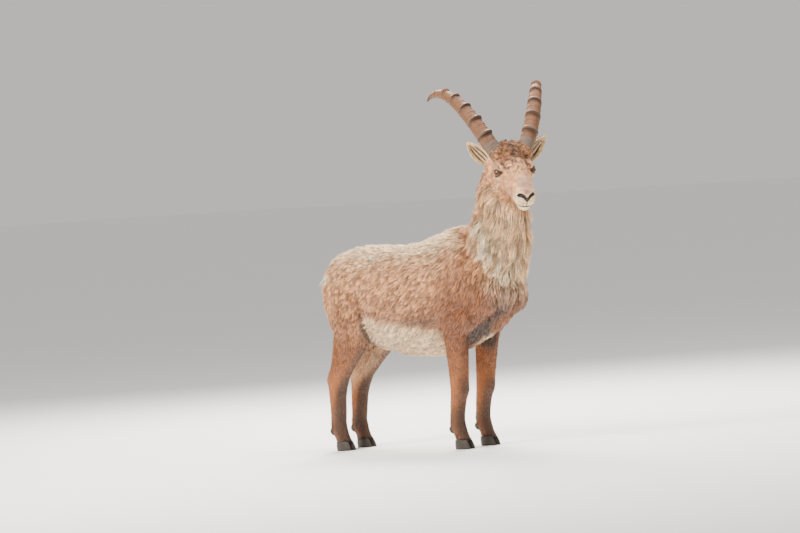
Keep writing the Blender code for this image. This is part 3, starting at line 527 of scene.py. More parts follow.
# lips: a groove from one corner round the front to the other, each lip rounded beside it
away = np.abs(at[:, 2] + 0.0585 - 0.0062 * limit((0.182 - at[:, 0]) / 0.064) ** 1.4)
at_lips = ease(at[:, 0], 0.112, 0.13) * (from_eyes < 0.24)
rise += at_lips * (-0.0045 * bump_at(away, 0.0021) + 0.0014 * bump_at(away - 0.0055, 0.0028))
bare = at_lips * fade(away, 0.0032, 0.0052)
nostril = (
    (0.1985, 0.003, -0.029),
    (0.196, 0.008, -0.0215),
    (0.191, 0.015, -0.014),
    (0.183, 0.0225, -0.0105),
    (0.173, 0.0285, -0.0125),
    (0.166, 0.0305, -0.0175),
)
for sign in SIDES.values():
    away, share = nearest_on(at * [1, sign, 1], nostril)
    wide = 0.0026 + 0.0044 * np.sin(math.pi * limit(share)) ** 0.7
    rise += -0.0085 * bump_at(away, wide) * ease(share, 0.0, 0.2)
    bare = np.maximum(bare, fade(away, wide * 1.05, wide * 1.05 + 0.0022))
    rise += 0.0014 * bump_at(away - wide * 1.9, wide * 0.6) * ease(share, 0.15, 0.4)
face_side = folded(at)
# the brow sinks into the bridge of the nose before the eye
rise -= 0.005 * bump_at(distance_to(face_side, ((0.026, 0.048, 0.024), (0.04, 0.046, 0.022))), 0.01)
# the cheek ridge runs from below the eye towards the nostril, above a hollow
cheek_ridge = ((-0.03, 0.066, -0.02), (0.03, 0.058, -0.024), (0.085, 0.044, -0.022))
away, share = nearest_on(face_side, cheek_ridge)
rise += 0.0028 * bump_at(away, 0.009) * np.sin(math.pi * limit(share * 0.9 + 0.05))
rise -= 0.0024 * bump_at(distance_to(face_side, ((0.0, 0.064, -0.042), (0.06, 0.05, -0.05))), 0.012)
# a bare pad narrows downwards between the nostrils, and a groove runs from it to the lip
below = -at[:, 2]
on_nose = (at[:, 0] > 0.165) * ease(below, 0.0165, 0.02)
pad_half = 0.015 - 0.9 * np.clip(below - 0.0215, 0, 0.0145)
pad = fade(np.abs(at[:, 1]) - pad_half, -0.001, 0.0012) * fade(below, 0.035, 0.038)
groove = fade(np.abs(at[:, 1]), 0.001, 0.0024) * fade(below, 0.052, 0.056)
bare = np.maximum(bare, on_nose * np.maximum(pad, groove))
rise -= on_nose * 0.002 * bump_at(at[:, 1], 0.0022) * fade(below, 0.052, 0.056)
moved = at + out * (rise - coat_depth)[:, None]
# lids: the skin inside their opening goes behind the eyeball, and their edge lies on it
for side in SIDES:
    middle = eye_spots[side][0]
    from_middle = at - middle
    ellipse = in_lids(at, side)
    near = ellipse < 2.6
    bare = np.maximum(bare, fade(ellipse, 1.22, 1.42))
    length = lengths(from_middle)
    edge = EYE_RADIUS + 0.0006 + 0.0024 * ease(ellipse, 1.0, 1.22)
    hidden = EYE_RADIUS - 0.004
    lid = hidden + (edge - hidden) * ease(ellipse, 0.93, 1.04)
    fold = -0.0016 * bump_at(ellipse - 1.62, 0.1) - 0.0007 * bump_at(ellipse - 2.05, 0.12)
    far = lengths(moved - middle) + fold
    held = ease(ellipse, 1.25, 1.75)
    radius = lid * (1 - held) + far * held
    target = middle + from_middle / length[:, None] * radius[:, None]
    moved = np.where(near[:, None], target, moved)
put(skin.data.vertices, "co", carried(moved, HEAD))
skin.data.update()

skin.data.shade_smooth()
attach(skin, "root")
flesh_nodes = ["head", "neck", "torso", "tail", "ear_left", "ear_right"]
flesh_nodes += [f"{leg}_{side}" for leg in ("foreleg", "hindleg") for side in SIDES]
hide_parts(*flesh_nodes)

# Finish. Every surface gets its colour, gloss and grain from sums of patterns and marks, which
# a wire writes down as a sum on numbers would be.
class Wire:
    """A socket that sums and products can be written with."""

    def __init__(self, finish, socket):
        self.finish = finish
        self.socket = socket

    def math(self, operation, first, second):
        return self.finish.add("ShaderNodeMath", {"operation": operation}, {0: first, 1: second})

    def __add__(self, other):
        return self.math("ADD", self, other)

    def __sub__(self, other):
        return self.math("SUBTRACT", self, other)

    def __rsub__(self, other):
        return self.math("SUBTRACT", other, self)

    def __mul__(self, other):
        return self.math("MULTIPLY", self, other)

    def __pow__(self, other):
        return self.math("POWER", self, other)

    __radd__ = __add__
    __rmul__ = __mul__


class Finish:
    """One material: a Principled shader and the patterns that feed it."""

    def __init__(self, name):
        self.material = bpy.data.materials.new(name)
        self.material.use_nodes = True
        self.tree = self.material.node_tree
        self.shader = self.tree.nodes["Principled BSDF"]

    def add(self, kind, settings=None, values=None, out=0):
        node = self.tree.nodes.new(kind)
        for key, value in (settings or {}).items():
            setattr(node, key, value)
        self.feed(values or {}, node)
        return Wire(self, node.outputs[out])

    def feed(self, values, node=None):
        """Puts wires or plain values into the inputs of a node, or else of the shader."""
        for key, value in values.items():
            socket = (node or self.shader).inputs[key]
            if isinstance(value, Wire):
                self.tree.links.new(value.socket, socket)
            else:
                socket.default_value = value

    def split(self, name):
        """A vector stored on the mesh, and its three numbers."""
        whole = self.add("ShaderNodeAttribute", {"attribute_name": name}, out="Vector")
        return whole, [self.add("ShaderNodeSeparateXYZ", values={0: whole}, out=k) for k in range(3)]

    def noise(self, place, scale, detail):
        values = {"Vector": place, "Scale": scale, "Detail": detail}
        return self.add("ShaderNodeTexNoise", values=values)

    def blend(self, amount, first, second):
        """From the first colour to the second."""
        colours = [c if isinstance(c, Wire) else (*c, 1) for c in (first, second)]
        values = {0: amount, 6: colours[0], 7: colours[1]}
        return self.add("ShaderNodeMix", {"data_type": "RGBA", "clamp_factor": True}, values, 2)

    def ease(self, value, low, high):
        """0 below low, 1 above high and smooth between."""
        settings = {"interpolation_type": "SMOOTHSTEP", "clamp": True}
        return self.add("ShaderNodeMapRange", settings, {0: value, 1: low, 2: high, 3: 0.0, 4: 1.0})

    def clamp(self, value):
        return self.add("ShaderNodeClamp", values={0: value})

    def bump(self, height, strength, distance):
        values = {"Strength": strength, "Distance": distance, "Height": height}
        self.feed({"Normal": self.add("ShaderNodeBump", values=values)})


# Markings. The coat is orange-tan above and browner below, bleached cream along the back, with a
# cream belly, buttock edge, throat and muzzle, brown fronts to the legs and a dark tail tuft. Painted
# light is mixed in with them: the paler top of the trunk is partly painted light from above, with a
# painted highlight along the ridge of the back, and painted shade darkens the folds of the flank and
# breast, the flank behind the elbow, the chest between the forelegs, the lower breast and the gaps
# between wool clumps. Each mark is a soft weight on the skin, which the coat takes over at its roots.
own = points_of(skin.data)
at = points_of(skin.data, HEAD)
facing = normals_of(skin.data, BODY)
count = len(own)
x, y, z = own.T
hx, hy, hz = at.T
fx, fy, fz = facing.T
side_y = np.abs(y)


def spot(points, centre, radii):
    """1 at the centre, easing to 0 at these radii."""
    return fade(lengths((points - centre) / radii), 0.3, 1.0)


def both_sides(points, centre, radii):
    return sum(spot(points, (centre[0], sign * centre[1], centre[2]), radii) for sign in SIDES.values())


def cloud(points, scale, shift=0.0):
    """A smooth pattern of patches about 1 / scale across, from -1 to 1."""
    return np.array([noise.noise(Vector(p) * scale + Vector((shift, 0, 0))) for p in points])


patches = cloud(own, 22.0)
specks = cloud(own, 70.0, 5.0)
on_skull = lengths(at - [0.03, 0, 0]) < 0.24
head_line = (own - [0.375, -0.01, 0.93]) @ np.array((0.62, -0.12, 0.78))
neck_line = (own - [0.3, 0, 0.69]) @ np.array((0.62, 0, 0.78))
is_head = ease(head_line, -0.012, 0.028) * on_skull
is_neck = ease(neck_line, -0.045, 0.045) * (1 - is_head)
is_breast = both_sides(own, (0.335, 0.04, 0.58), (0.12, 0.14, 0.14)) * (1 - is_neck)
is_leg = fade(z, 0.36, 0.47) * (1 - is_head)
is_leg *= 1 - (side_y < 0.035) * (x > -0.3) * (z > 0.3)
is_tail = ease(-x - 0.488, 0, 0.01) * (side_y < 0.035) * (z < 0.69)
is_trunk = limit(1 - is_head - is_neck - is_leg - is_tail)
is_thigh = ease(-x - 0.255, 0, 0.05) * is_trunk * ease(0.66 - z, 0, 0.1)
is_ear = np.zeros(count)
in_cup = np.zeros(count)
up_ear = np.zeros(count)
ear_stripe = np.zeros(count)
for side in SIDES:
    ex, ey, ez = points_of(skin.data, ear_frames[side]).T
    nx, ny, _ = normals_of(skin.data, ear_frames[side]).T
    here = ease(ez, 0.01, 0.026) * (np.abs(ey) < 0.045) * (ex > -0.03) * (ex < 0.05)
    level = limit(ez / EAR_LENGTH)
    curl, bend, dip = ear_form(level)
    deep = bend - ex - dip
    inner = deep * nx - ey * ny > 0
    is_ear = np.maximum(is_ear, here)
    in_cup = np.maximum(in_cup, here * inner)
    up_ear = np.where(here > 0, level, up_ear)
    lane_at = np.arctan2(ey, deep) / curl
    for lane, reach in ((-0.46, 0.86), (0.02, 0.94), (0.5, 0.8)):
        mark = bump_at(lane_at - lane * (1 - 0.3 * level), 0.11) * ease(level, 0.12, 0.3)
        ear_stripe = np.maximum(ear_stripe, mark * fade(level, reach - 0.12, reach) * here * inner)

# below this line, which rises from the elbow to the flank, the belly is cream
belly_line = 0.458 + 0.17 * np.clip(0.07 - x, 0, 0.36) + 0.01 * patches
under = ease(x + 0.262, 0, 0.03) * fade(x, 0.08, 0.14)
belly = ease(belly_line - z, -0.006, 0.024) * under * (1 - is_neck)
belly = np.maximum(belly, ease(0.045 - side_y, 0, 0.02) * ease(0.44 - z, 0, 0.03) * (x > -0.36) * (x < 0.14))
buttock = ease(-fx, 0.45, 0.85) * ease(z, 0.4, 0.5) * (x < -0.4) * (1 - is_tail)
# painted highlight: the top of the back is made paler where it faces upwards, as light from above would make
# it; the same weight also gives the ridge longer hair
back_ridge_and_highlight = ease(z, 0.66, 0.77) * ease(fz, 0.15, 0.85) * is_trunk
# the paler upper trunk is partly the coat's own bleached hair and partly painted light from above
bleach_and_top_light = ease(z + 0.035 * patches + 0.02 * specks, 0.6, 0.74) * is_trunk * fade(x, 0.1, 0.26)
moult_line = np.abs(z - 0.655 - 0.22 * (x + 0.38) - 0.028 * patches - 0.02 * specks)
ragged = bump_at(moult_line, 0.01) * (x < -0.16) * ease(specks, -0.1, 0.2) * is_trunk
throat = (is_neck + is_breast * ease(z + 0.05 * patches, 0.585, 0.665)) * (1 - is_head)
throat *= ease(0.7 * fx - 0.45 * fy + 0.35 * patches, -0.35, 0.75)
wool_path = ((0.3, -0.092, 0.87), (0.325, -0.09, 0.775), (0.362, -0.074, 0.69), (0.38, -0.06, 0.64))
away_wool = distance_to(own, wool_path)
torn = bump_at(away_wool, 0.034) * ease(patches * 0.4 + specks, -0.15, 0.15) * (1 - is_head)
inner_leg = is_leg * ease(-np.sign(y) * fy, 0.2, 0.8) * (x < -0.2) * ease(z, 0.16, 0.3)
sternum = spot(own, (0.235, 0, 0.415), (0.1, 0.028, 0.05))
muzzle = ease(hx + 0.016 * specks + 0.004 * patches, 0.118, 0.168) * ease(0.01 - hz, -0.006, 0.02) * is_head
chin = ease(hx, 0.085, 0.125) * ease(-hz, 0.046, 0.062) * is_head
cheek_path = ((0.024, 0.062, -0.02), (0.006, 0.064, -0.052), (-0.018, 0.06, -0.085), (-0.05, 0.056, -0.125))
cheek = bump_at(distance_to(folded(at), cheek_path), 0.009 + 0.005 * specks) * is_head
eye_ring = np.zeros(count)
lid_rim = np.zeros(count)
for side in SIDES:
    almond = in_lids(at, side)
    eye_ring = np.maximum(eye_ring, bump_at(almond - 2.15, 0.4))
    lid_rim = np.maximum(lid_rim, fade(almond, 1.3, 1.62))
# the pale weight holds the cream marks and also the painted highlight along the back and the painted light
# on the upper trunk
pale_and_highlight = belly * (0.66 + 0.3 * patches) + buttock * 0.6 + back_ridge_and_highlight * 0.45 + bleach_and_top_light * 0.38 + throat * 0.4
pale_and_highlight = limit(pale_and_highlight + 0.15 * is_neck + 0.22 * is_breast * ease(fx, 0.3, 0.9))
pale_and_highlight += muzzle * 0.58 + chin * 0.8 + cheek * 0.55 + eye_ring * 0.3
pale_and_highlight = limit(pale_and_highlight + inner_leg * 0.4 + sternum * 0.7)
pale_and_highlight = limit(pale_and_highlight + in_cup * 0.55 + torn * 0.5 + 0.25 * is_ear)
# the ridge's share of this weight is painted highlight along the top of the back; the rest is shed wool
wool_and_ridge_highlight = limit(ragged * 0.9 + torn * 0.95 + back_ridge_and_highlight * 0.15)

leg_front = is_leg * ease(fx + 0.3 * specks, 0.0, 0.95)
knees = is_leg * bump_at(z - 0.225, 0.035) * ease(fx, -0.2, 0.6)
pastern = is_leg * fade(z + 0.03 * patches, 0.09, 0.27)
# painted shade: the flank darkened behind the elbow, above the pale belly
elbow_shade = both_sides(own, (0.04, 0.14, 0.478), (0.12, 0.07, 0.034)) * (1 - 0.9 * belly)
# painted shade: the chest darkened between the forelegs, under the breast
armpit_shade = both_sides(own, (0.225, 0.05, 0.425), (0.125, 0.055, 0.095)) * (1 - sternum)
# painted shade: a dark line in the crease between the thigh and the flank
flank_fold_shadow_path = ((-0.262, 0, 0.52), (-0.252, 0, 0.47), (-0.246, 0, 0.4))
fold = bump_at(distance_to(own * [1, 0, 1], flank_fold_shadow_path), 0.009) * ease(side_y, 0.06, 0.09)
# painted shade: the fold beside the breast and the lower breast under the neck are darkened as shade
breast_path = ((0.345, 0.052, 0.6), (0.325, 0.056, 0.5), (0.27, 0.05, 0.445))
breast_fold_shadow = bump_at(distance_to(folded(own), breast_path), 0.024)
breast_shade = 0.5 * breast_fold_shadow + 0.55 * is_breast * ease(0.595 - z + 0.02 * patches, 0, 0.08)
# painted shade in the gaps between the clumps of shed wool
wool_gap_shade = bump_at(away_wool, 0.03) * ease(-0.4 * patches - specks, 0.0, 0.2) * (1 - is_head)
tail_dark = is_tail * fade(z, 0.63, 0.672)
thigh_front = is_leg * ease(fx, -0.2, 0.6) * (x < -0.2)
centre_line = bump_at(hy + 0.006 * specks, 0.0055) * ease(hx, -0.09, -0.05)
centre_line *= fade(hx, 0.015, 0.055) * ease(hz, 0.02, 0.04)
brow_dark = both_sides(at, (0.03, 0.042, 0.032), (0.034, 0.02, 0.02)) * is_head
crown = ease(0.008 * patches - hx, -0.05, 0.03) * ease(hz, 0.022, 0.05) * is_head
flecks = ease(cloud(at * [0.6, 1, 1], 130.0, 9.0), 0.02, 0.26) * ease(0.125 - hx, 0, 0.07)
flecks *= is_head * (1 - is_ear) * (0.35 + 0.65 * ease(hz, 0.0, 0.03))
tear = both_sides(at, (0.046, 0.054, -0.004), (0.018, 0.012, 0.007)) * is_head
nape = ease(-fx, 0.0, 0.7) * (is_neck + is_head * ease(-hx, 0.05, 0.1))
nape_flecks = ease(cloud(own, 95.0, 3.0), 0.15, 0.45) * limit(is_neck * ease(0.1 - fx, 0, 0.5))
# the dark weight holds the real dark marks and also painted shade: behind the elbow, between the forelegs,
# in the flank and breast folds, on the lower breast and between wool clumps
dark_and_shade = limit(0.4 * leg_front + 0.3 * knees + 0.64 * pastern + 0.65 * elbow_shade + armpit_shade + fold + tail_dark)
dark_and_shade += 0.75 * centre_line + 0.45 * brow_dark + 0.78 * flecks + 0.15 * tear
dark_and_shade = limit(dark_and_shade + 0.98 * ear_stripe + 0.3 * in_cup * (1 - up_ear))
dark_and_shade = limit(dark_and_shade + breast_shade + 0.3 * wool_gap_shade + 0.3 * thigh_front + 0.85 * lid_rim + 0.5 * nape_flecks)
rust = limit(is_leg * 0.85 + is_trunk * ease(0.68 - z + 0.05 * patches, 0, 0.22) * 0.55)
rust += crown * 0.15 + (0.26 - 0.35 * specks) * is_head * (1 - 0.6 * cheek)
rust = limit(rust + 0.5 * is_trunk * ease(x, 0.06, 0.2) + 0.35 * nape - 0.5 * belly)
mauve = ease(hx + 0.012 * specks, 0.07, 0.125) * ease(hz, -0.01, 0.014)
mauve *= ease(0.036 - np.abs(hy), 0, 0.02) * is_head
mauve += 0.65 * is_breast * ease(fx, 0.1, 0.8) + 0.3 * throat * ease(-patches, -0.1, 0.4)
mauve = limit(mauve + 0.4 * inner_leg)
no_hair = np.maximum(bare > 0.35, lid_rim > 0.9)

# Skin finish. Short hair laid flat shows as fine grain on it, and the bare lids, nose and lips
# are dark, smooth and slightly wet.
TAN = (0.54, 0.205, 0.07)
TAN_LIGHT = (0.88, 0.46, 0.215)
RUST = (0.33, 0.105, 0.03)
CREAM = (0.82, 0.55, 0.3)
CREAM_LIGHT = (0.98, 0.77, 0.49)
WOOL = (0.98, 0.86, 0.64)
DARK_AND_SHADE = (0.075, 0.036, 0.022)
MAUVE = (0.42, 0.25, 0.19)
BARE = (0.01, 0.007, 0.007)


def coat_colour(finish):
    """The hair's colour and the bare skin's share, from the marks, each tuft's own tone, darker
    towards its root, and painted shade on the skin where the coat over it is long.
    """
    _, (pale_and_highlight_mark, dark_and_shade_mark, rust_mark) = finish.split("marks")
    _, (mauve_mark, wool_and_highlight_mark, bare_mark) = finish.split("more_marks")
    _, (along, chance, lock) = finish.split("strand")
    place = finish.add("ShaderNodeTexCoord", out="Object")
    broad = finish.noise(place, 18.0, 4.0)
    fine = finish.noise(place, 130.0, 3.0)
    ragged_edge = (broad - 0.5) * 0.35 + (fine - 0.5) * 0.35 + (chance - 0.5) * 0.22
    colour = finish.blend(finish.ease(broad * 0.4 + fine * 0.3 + lock * 0.3, 0.3, 0.66), TAN, TAN_LIGHT)
    cream = finish.blend(finish.ease(fine * 0.6 + chance * 0.4, 0.3, 0.7), CREAM, CREAM_LIGHT)
    # each mark with how torn its edge is, where it starts and is full, its share and its colour
    for mark, torn_by, low, high, share, tint in (
        (rust_mark, 1.0, 0.08, 0.95, 1.0, RUST),
        (mauve_mark, 0.6, 0.2, 0.95, 0.75, MAUVE),
        (pale_and_highlight_mark, 1.0, 0.08, 0.85, 1.0, cream),
        (wool_and_highlight_mark, 1.0, 0.3, 0.8, 1.0, WOOL),
        (dark_and_shade_mark, 0.8, 0.12, 0.92, 1.0, DARK_AND_SHADE),
    ):
        edge = finish.ease(mark + ragged_edge * torn_by, low, high) * share
        colour = finish.blend(edge, colour, tint)
    # darker towards each tuft's root, and on the skin where its first strand number is low under long hair,
    # which is painted shade in the gaps between the tufts; the rest differs at random by tuft and lock
    tone_and_gap_shade = (0.42 + 0.58 * finish.ease(along, 0.0, 0.7)) * (0.72 + 0.5 * chance) * (0.56 + 0.8 * lock)
    grey = finish.add("ShaderNodeCombineXYZ", values={0: tone_and_gap_shade, 1: tone_and_gap_shade, 2: tone_and_gap_shade})
    settings = {"data_type": "RGBA", "blend_type": "MULTIPLY"}
    colour = finish.add("ShaderNodeMix", settings, {0: 1.0, 6: colour, 7: grey}, 2)
    naked = finish.ease(bare_mark, 0.3, 0.7)
    return finish.blend(naked, colour, BARE), naked, fine


def store(mesh, name, columns):
    values = mesh.attributes.new(name, "FLOAT_VECTOR", "POINT")
    put(values.data, "vector", np.stack(columns, axis=1))


short_coat = limit(is_leg + is_head * (1 - crown) + is_ear)
store(skin.data, "marks", (pale_and_highlight, dark_and_shade, rust))
store(skin.data, "more_marks", (mauve, wool_and_ridge_highlight, bare))
# on the skin the first number is lower where the coat is long, which darkens it there as painted shade in
# the gaps between the tufts
store(skin.data, "strand", (0.18 + 0.45 * short_coat, 0.5 + 0 * pale_and_highlight, 0.5 + 0.4 * specks))
finish = Finish("skin")
colour, naked, grain = coat_colour(finish)
finish.feed({"Base Color": colour, "Roughness": 0.88 - 0.5 * naked})
finish.bump(grain, 0.35, 0.0015)
skin.data.materials.clear()
skin.data.materials.append(finish.material)

# Coat. Tufts of hair rooted all over the skin, each a thin closed blade that runs along the lie
# of the coat and gathers with its neighbours into locks: short and flat on the face and legs,
# longer on the trunk, shaggy on the neck.
LONG_HAIR = 0.034
MEDIUM_HAIR = 0.0135
HOOF_FRINGE = 0.046
CLEAR_OF_LIDS = 1.45
SINK = 0.0014
length = 0.026 + 0.004 * back_ridge_and_highlight + 0.006 * ease(x, 0.02, 0.2) * (1 - is_neck)
length = length * (1 - is_thigh) + 0.022 * is_thigh
length = np.maximum(length, 0.036 * belly)
length = length * (1 - is_leg) + is_leg * np.maximum(0.009 + 0.013 * ease(z, 0.22, 0.44), 0.03 * belly)
neck_length = 0.042 + 0.016 * ease(fx, -0.2, 0.8) - 0.012 * ease(-fx, 0.2, 0.9)
length = length * (1 - is_neck) + neck_length * is_neck
length = np.maximum(length, 0.042 * is_breast)
face_length = 0.0036 + 0.004 * ease(0.12 - hx, 0, 0.09)
face_length += 0.012 * ease(-hz, 0.035, 0.09) * ease(0.05 - hx, 0, 0.06)
face_length += 0.0065 * crown + 0.01 * ease(-hx, 0.05, 0.1)
length = length * (1 - is_head) + face_length * is_head
length = length * (1 - is_ear) + is_ear * (0.006 + 0.009 * in_cup * (1 - up_ear))
fetlock = np.zeros(count)
for foot, behind, step in ((FORE, 0.014, 0), (HIND, 0.021, 0), (HIND, 0.021, LEFT_STEP)):
    centre = (foot.x + step - behind, foot.y, 0.092)
    fetlock = np.maximum(fetlock, both_sides(own, centre, (0.026, 0.04, 0.026)))
length += 0.014 * fetlock + 0.022 * spot(own, (-0.165, 0, 0.385), (0.07, 0.045, 0.04))
length += 0.01 * torn * is_neck
length = length * (1 - is_tail) + is_tail * (0.024 + 0.022 * fade(z, 0.53, 0.62))
width = 0.0009 + 0.05 * np.minimum(length, LONG_HAIR)
width -= 0.0009 * is_neck
lift = 0.0006 + 0.17 * length + 0.05 * length * is_neck + 0.42 * length * wool_and_ridge_highlight
lift += 0.3 * length * torn * is_neck + 0.1 * length * crown + 0.006 * fetlock
lift -= length * (0.08 * is_leg + 0.07 * is_head * (1 - crown))
cover = 2.5 + 1.1 * is_neck - 1.3 * is_leg * (1 - belly) - 0.8 * is_head
cover += 0.6 * crown - 0.9 * is_ear + 3.0 * is_tail
density = np.maximum(cover, 0.8) / (length * width * 0.55)
density *= (1 - no_hair) * ease(z, 0.035, 0.0365)
density *= 1 - 0.45 * ease(hx, 0.1, 0.14) * is_head
density *= ease(distance_to(folded(at), ((-0.058, 0.053, 0.046), (-0.105, 0.062, 0.094))), 0.022, 0.027)

to_own = np.array(head_own)[:3, :3]


def lies(share, ahead, outward, upward):
    """This share of a heading: ahead, away from the middle plane and up."""
    way = np.stack([ahead + 0 * share, outward * np.sign(y) + 0 * share, upward + 0 * share], axis=1)
    return way / lengths(way)[:, None] * share[:, None]


trunk_fall = -0.25 - 0.65 * ease(0.74 - z, 0, 0.1) - 0.8 * ease(x, 0.08, 0.22)
lie = lies(is_trunk * (1 - is_breast), -1.0, 0, trunk_fall)
lie += lies(2.5 * is_thigh, -0.3, 0, -1.0)
lie += lies(2.0 * is_breast * (1 - is_neck), -0.35, 0, -1.0)
lie += lies(is_leg * (1 - belly), -0.15, 0, -1.0)
lie += lies(2.0 * belly, -1.0, 0.15, -0.55)
lie += lies(is_neck, -0.25, 0, -1.0)
lie += lies(is_tail, -0.25, 0, -1.0)
on_face = np.stack([-np.ones(count), 0.2 * np.sign(hy), -0.5 * ease(-hz, 0.0, 0.06)], axis=1)
on_crown = np.stack([0.8 * np.ones(count), 0.6 * np.sign(hy), -0.2 * np.ones(count)], axis=1)
on_face = on_face * (1 - crown)[:, None] + crown[:, None] * on_crown
lie = lie * (1 - is_head)[:, None] + (on_face @ to_own.T) * is_head[:, None]
for side, sign in SIDES.items():
    way = np.array(BODY.inverted() @ ear_frames[side])[:3, 2]
    here = is_ear * (np.sign(hy) == sign)
    lie = lie * (1 - here)[:, None] + way * here[:, None]

skin.data.calc_loop_triangles()
corners = np.zeros(len(skin.data.loop_triangles) * 3, np.int32)
skin.data.loop_triangles.foreach_get("vertices", corners)
corners = corners.reshape(-1, 3)
a, b, c = (own[corners[:, k]] for k in range(3))
areas = lengths(np.cross(b - a, c - a)) / 2
draw = np.random.default_rng(7)
drawn = draw.poisson(areas * density[corners].mean(axis=1))
face_of = np.repeat(np.arange(len(corners)), drawn)
r1, r2 = np.sqrt(draw.random(len(face_of))), draw.random(len(face_of))
shares = np.stack([1 - r1, r1 * (1 - r2), r1 * r2], axis=1)


def at_roots(values):
    """A value of the skin's vertices at each root."""
    picked = np.asarray(values)[corners[face_of]]
    return np.einsum("ij,ij...->i...", shares, picked)


def unit(rows):
    return rows / (lengths(rows)[:, None] + 1e-9)


root = at_roots(own)
normal = unit(at_roots(facing))
tuft_length = at_roots(length) * draw.uniform(0.75, 1.25, len(root))
tuft_width = at_roots(width) * draw.uniform(0.75, 1.25, len(root))
curly = at_roots(crown)
woolly = at_roots(wool_and_ridge_highlight)
shaggy = limit(at_roots(is_neck) + at_roots(is_breast) + woolly)
swirl = np.array([noise.noise_vector(Vector(p) * 24.0) for p in root])
heading = unit(at_roots(lie)) + swirl * (0.4 + 1.3 * curly + 0.15 * shaggy + 0.7 * woolly)[:, None]
heading += draw.normal(0, 0.11, (len(root), 3)) * (1 + 3.0 * curly + 1.5 * woolly)[:, None]
heading = unit(heading - normal * np.einsum("ij,ij->i", heading, normal)[:, None])
across = np.cross(normal, heading)

# neighbouring tufts share a lock, whose tips draw together
kinds = [woolly > 0.4, tuft_length > 0.032, tuft_length > MEDIUM_HAIR]
lock_size = np.select(kinds, [0.015, 0.0165, 0.0105], 0.006)
cells = np.floor(root / lock_size[:, None]).astype(np.int64) @ np.array((7919, 104729, 1299709))
_, lock_of = np.unique(cells * 31 + (lock_size * 1e4).astype(np.int64), return_inverse=True)
members = np.bincount(lock_of)
lock_way = draw.normal(0, 0.3, (len(members), 3))[lock_of]
lock_shade = draw.random(len(members))[lock_of]
lock_lift = draw.uniform(0.55, 1.45, len(members))[lock_of]
bow = across * (draw.normal(0, 0.09, len(root)) * tuft_length)[:, None]
middle_point = root + heading * (tuft_length * 0.5)[:, None] + bow
tip_point = root + (heading + lock_way * (0.15 + woolly)[:, None]) * tuft_length[:, None]


def gather(points, strength):
    """Draws the points of each lock towards their mean."""
    mean = np.stack([np.bincount(lock_of, points[:, k]) / members for k in range(3)], axis=1)[lock_of]
    return points + (mean - points) * strength[:, None]


pull = 0.3 + 0.25 * (tuft_length > MEDIUM_HAIR) + 0.08 * shaggy + 0.3 * woolly
middle_point = gather(middle_point, pull * 0.3)
tip_point = gather(tip_point, pull)
tuft_lift = at_roots(lift) * lock_lift * draw.uniform(0.7, 1.3, len(root))
hide_tree = BVHTree.FromPolygons(own.tolist(), corners.tolist())
# the lowest tufts hang over the edge of the hoof, and the others follow the skin
hangs = (root[:, 2] < HOOF_FRINGE) & (at_roots(is_leg) > 0.5)
for points, share in ((middle_point, 0.62), (tip_point, 1.0)):
    for k in range(len(points)):
        if hangs[k]:
            points[k] += normal[k] * (0.0012 + 0.001 * share)
            continue
        near, way, _, _ = hide_tree.find_nearest(Vector(points[k]))
        points[k] = near + way * (tuft_lift[k] * share)
to_head = head_own.inverted()
clear = np.ones(len(root), bool)
for side in SIDES:
    for points in (middle_point, tip_point):
        clear &= in_lids(carried(points, to_head), side) > CLEAR_OF_LIDS
bottom = root - normal * SINK
tints = draw.random(len(root))
root_marks = at_roots(np.stack([pale_and_highlight, dark_and_shade, rust], axis=1))
root_more = at_roots(np.stack([mauve, wool_and_ridge_highlight, 0 * wool_and_ridge_highlight], axis=1))
coat_finish = Finish("coat")
colour, _, _ = coat_colour(coat_finish)
coat_finish.feed({"Base Color": colour, "Roughness": 0.68, "Sheen Weight": 0.2, "Sheen Roughness": 0.4})

regions = {
    "ear": at_roots(is_ear) > 0.5,
    "tail": at_roots(is_tail) > 0.5,
    "head": at_roots(is_head) > 0.5,
    "neck": at_roots(is_neck) > 0.5,
    "foreleg": (at_roots(is_leg) > 0.5) & (root[:, 0] > -0.1),
    "hindleg": (at_roots(is_leg) > 0.5) & (root[:, 0] <= -0.1),
    "flank": root[:, 0] > -0.19,
    "haunch": root[:, 0] <= -0.19,
}
slots = {region: f"coat_{region}" for region in ("tail", "head", "neck")}
slots |= {"ear": "ear", "foreleg": "coat_leg", "hindleg": "coat_leg"}
# the middle line of each upright region, on the left side and from below
middle_lines = {"neck": [place for place, _, _ in neck], "tail": [place for place, _, _ in tail[::-1]]}
for region, foot, table in (("foreleg", FORE, foreleg), ("hindleg", HIND, hindleg)):
    line = [(foot.x + ahead, foot.y * spread, high) for ahead, spread, high, _, _ in table[::-1]]
    middle_lines[region] = line
across_root = np.where(regions["head"] | regions["ear"], carried(root, to_head)[:, 1], root[:, 1])
root_side = np.where(across_root < 0, "right", "left")
pieces = {}
free = clear.copy()
for region, inside in regions.items():
    for side in SIDES:
        chosen = free & inside & (root_side == side)
        pieces[region, side] = np.nonzero(chosen)[0]
    free &= ~inside


def unroll(region, sign, points):
    """The skin of one region unrolled: the angle round its middle line, and the way along it."""
    if region in ("head", "ear"):
        x, y, z = carried(points, to_head).T
        angle, along = np.arctan2(y, z + 0.01), (x + 0.2) / 0.42
    elif region in ("flank", "haunch"):
        x, y, z = points.T
        angle, along = np.arctan2(y, z - 0.58), (x + 0.55) / 0.98
    else:
        x, y, z = points.T
        line = np.array(middle_lines[region])
        middle_x, middle_y = (np.interp(z, line[:, 2], line[:, k]) for k in (0, 1))
        angle = np.arctan2(y - sign * middle_y, x - middle_x)
        along = (z - z.min()) / (z.max() - z.min() + 1e-6)
    return np.stack([angle / (2 * math.pi) + 0.5, along], axis=1)


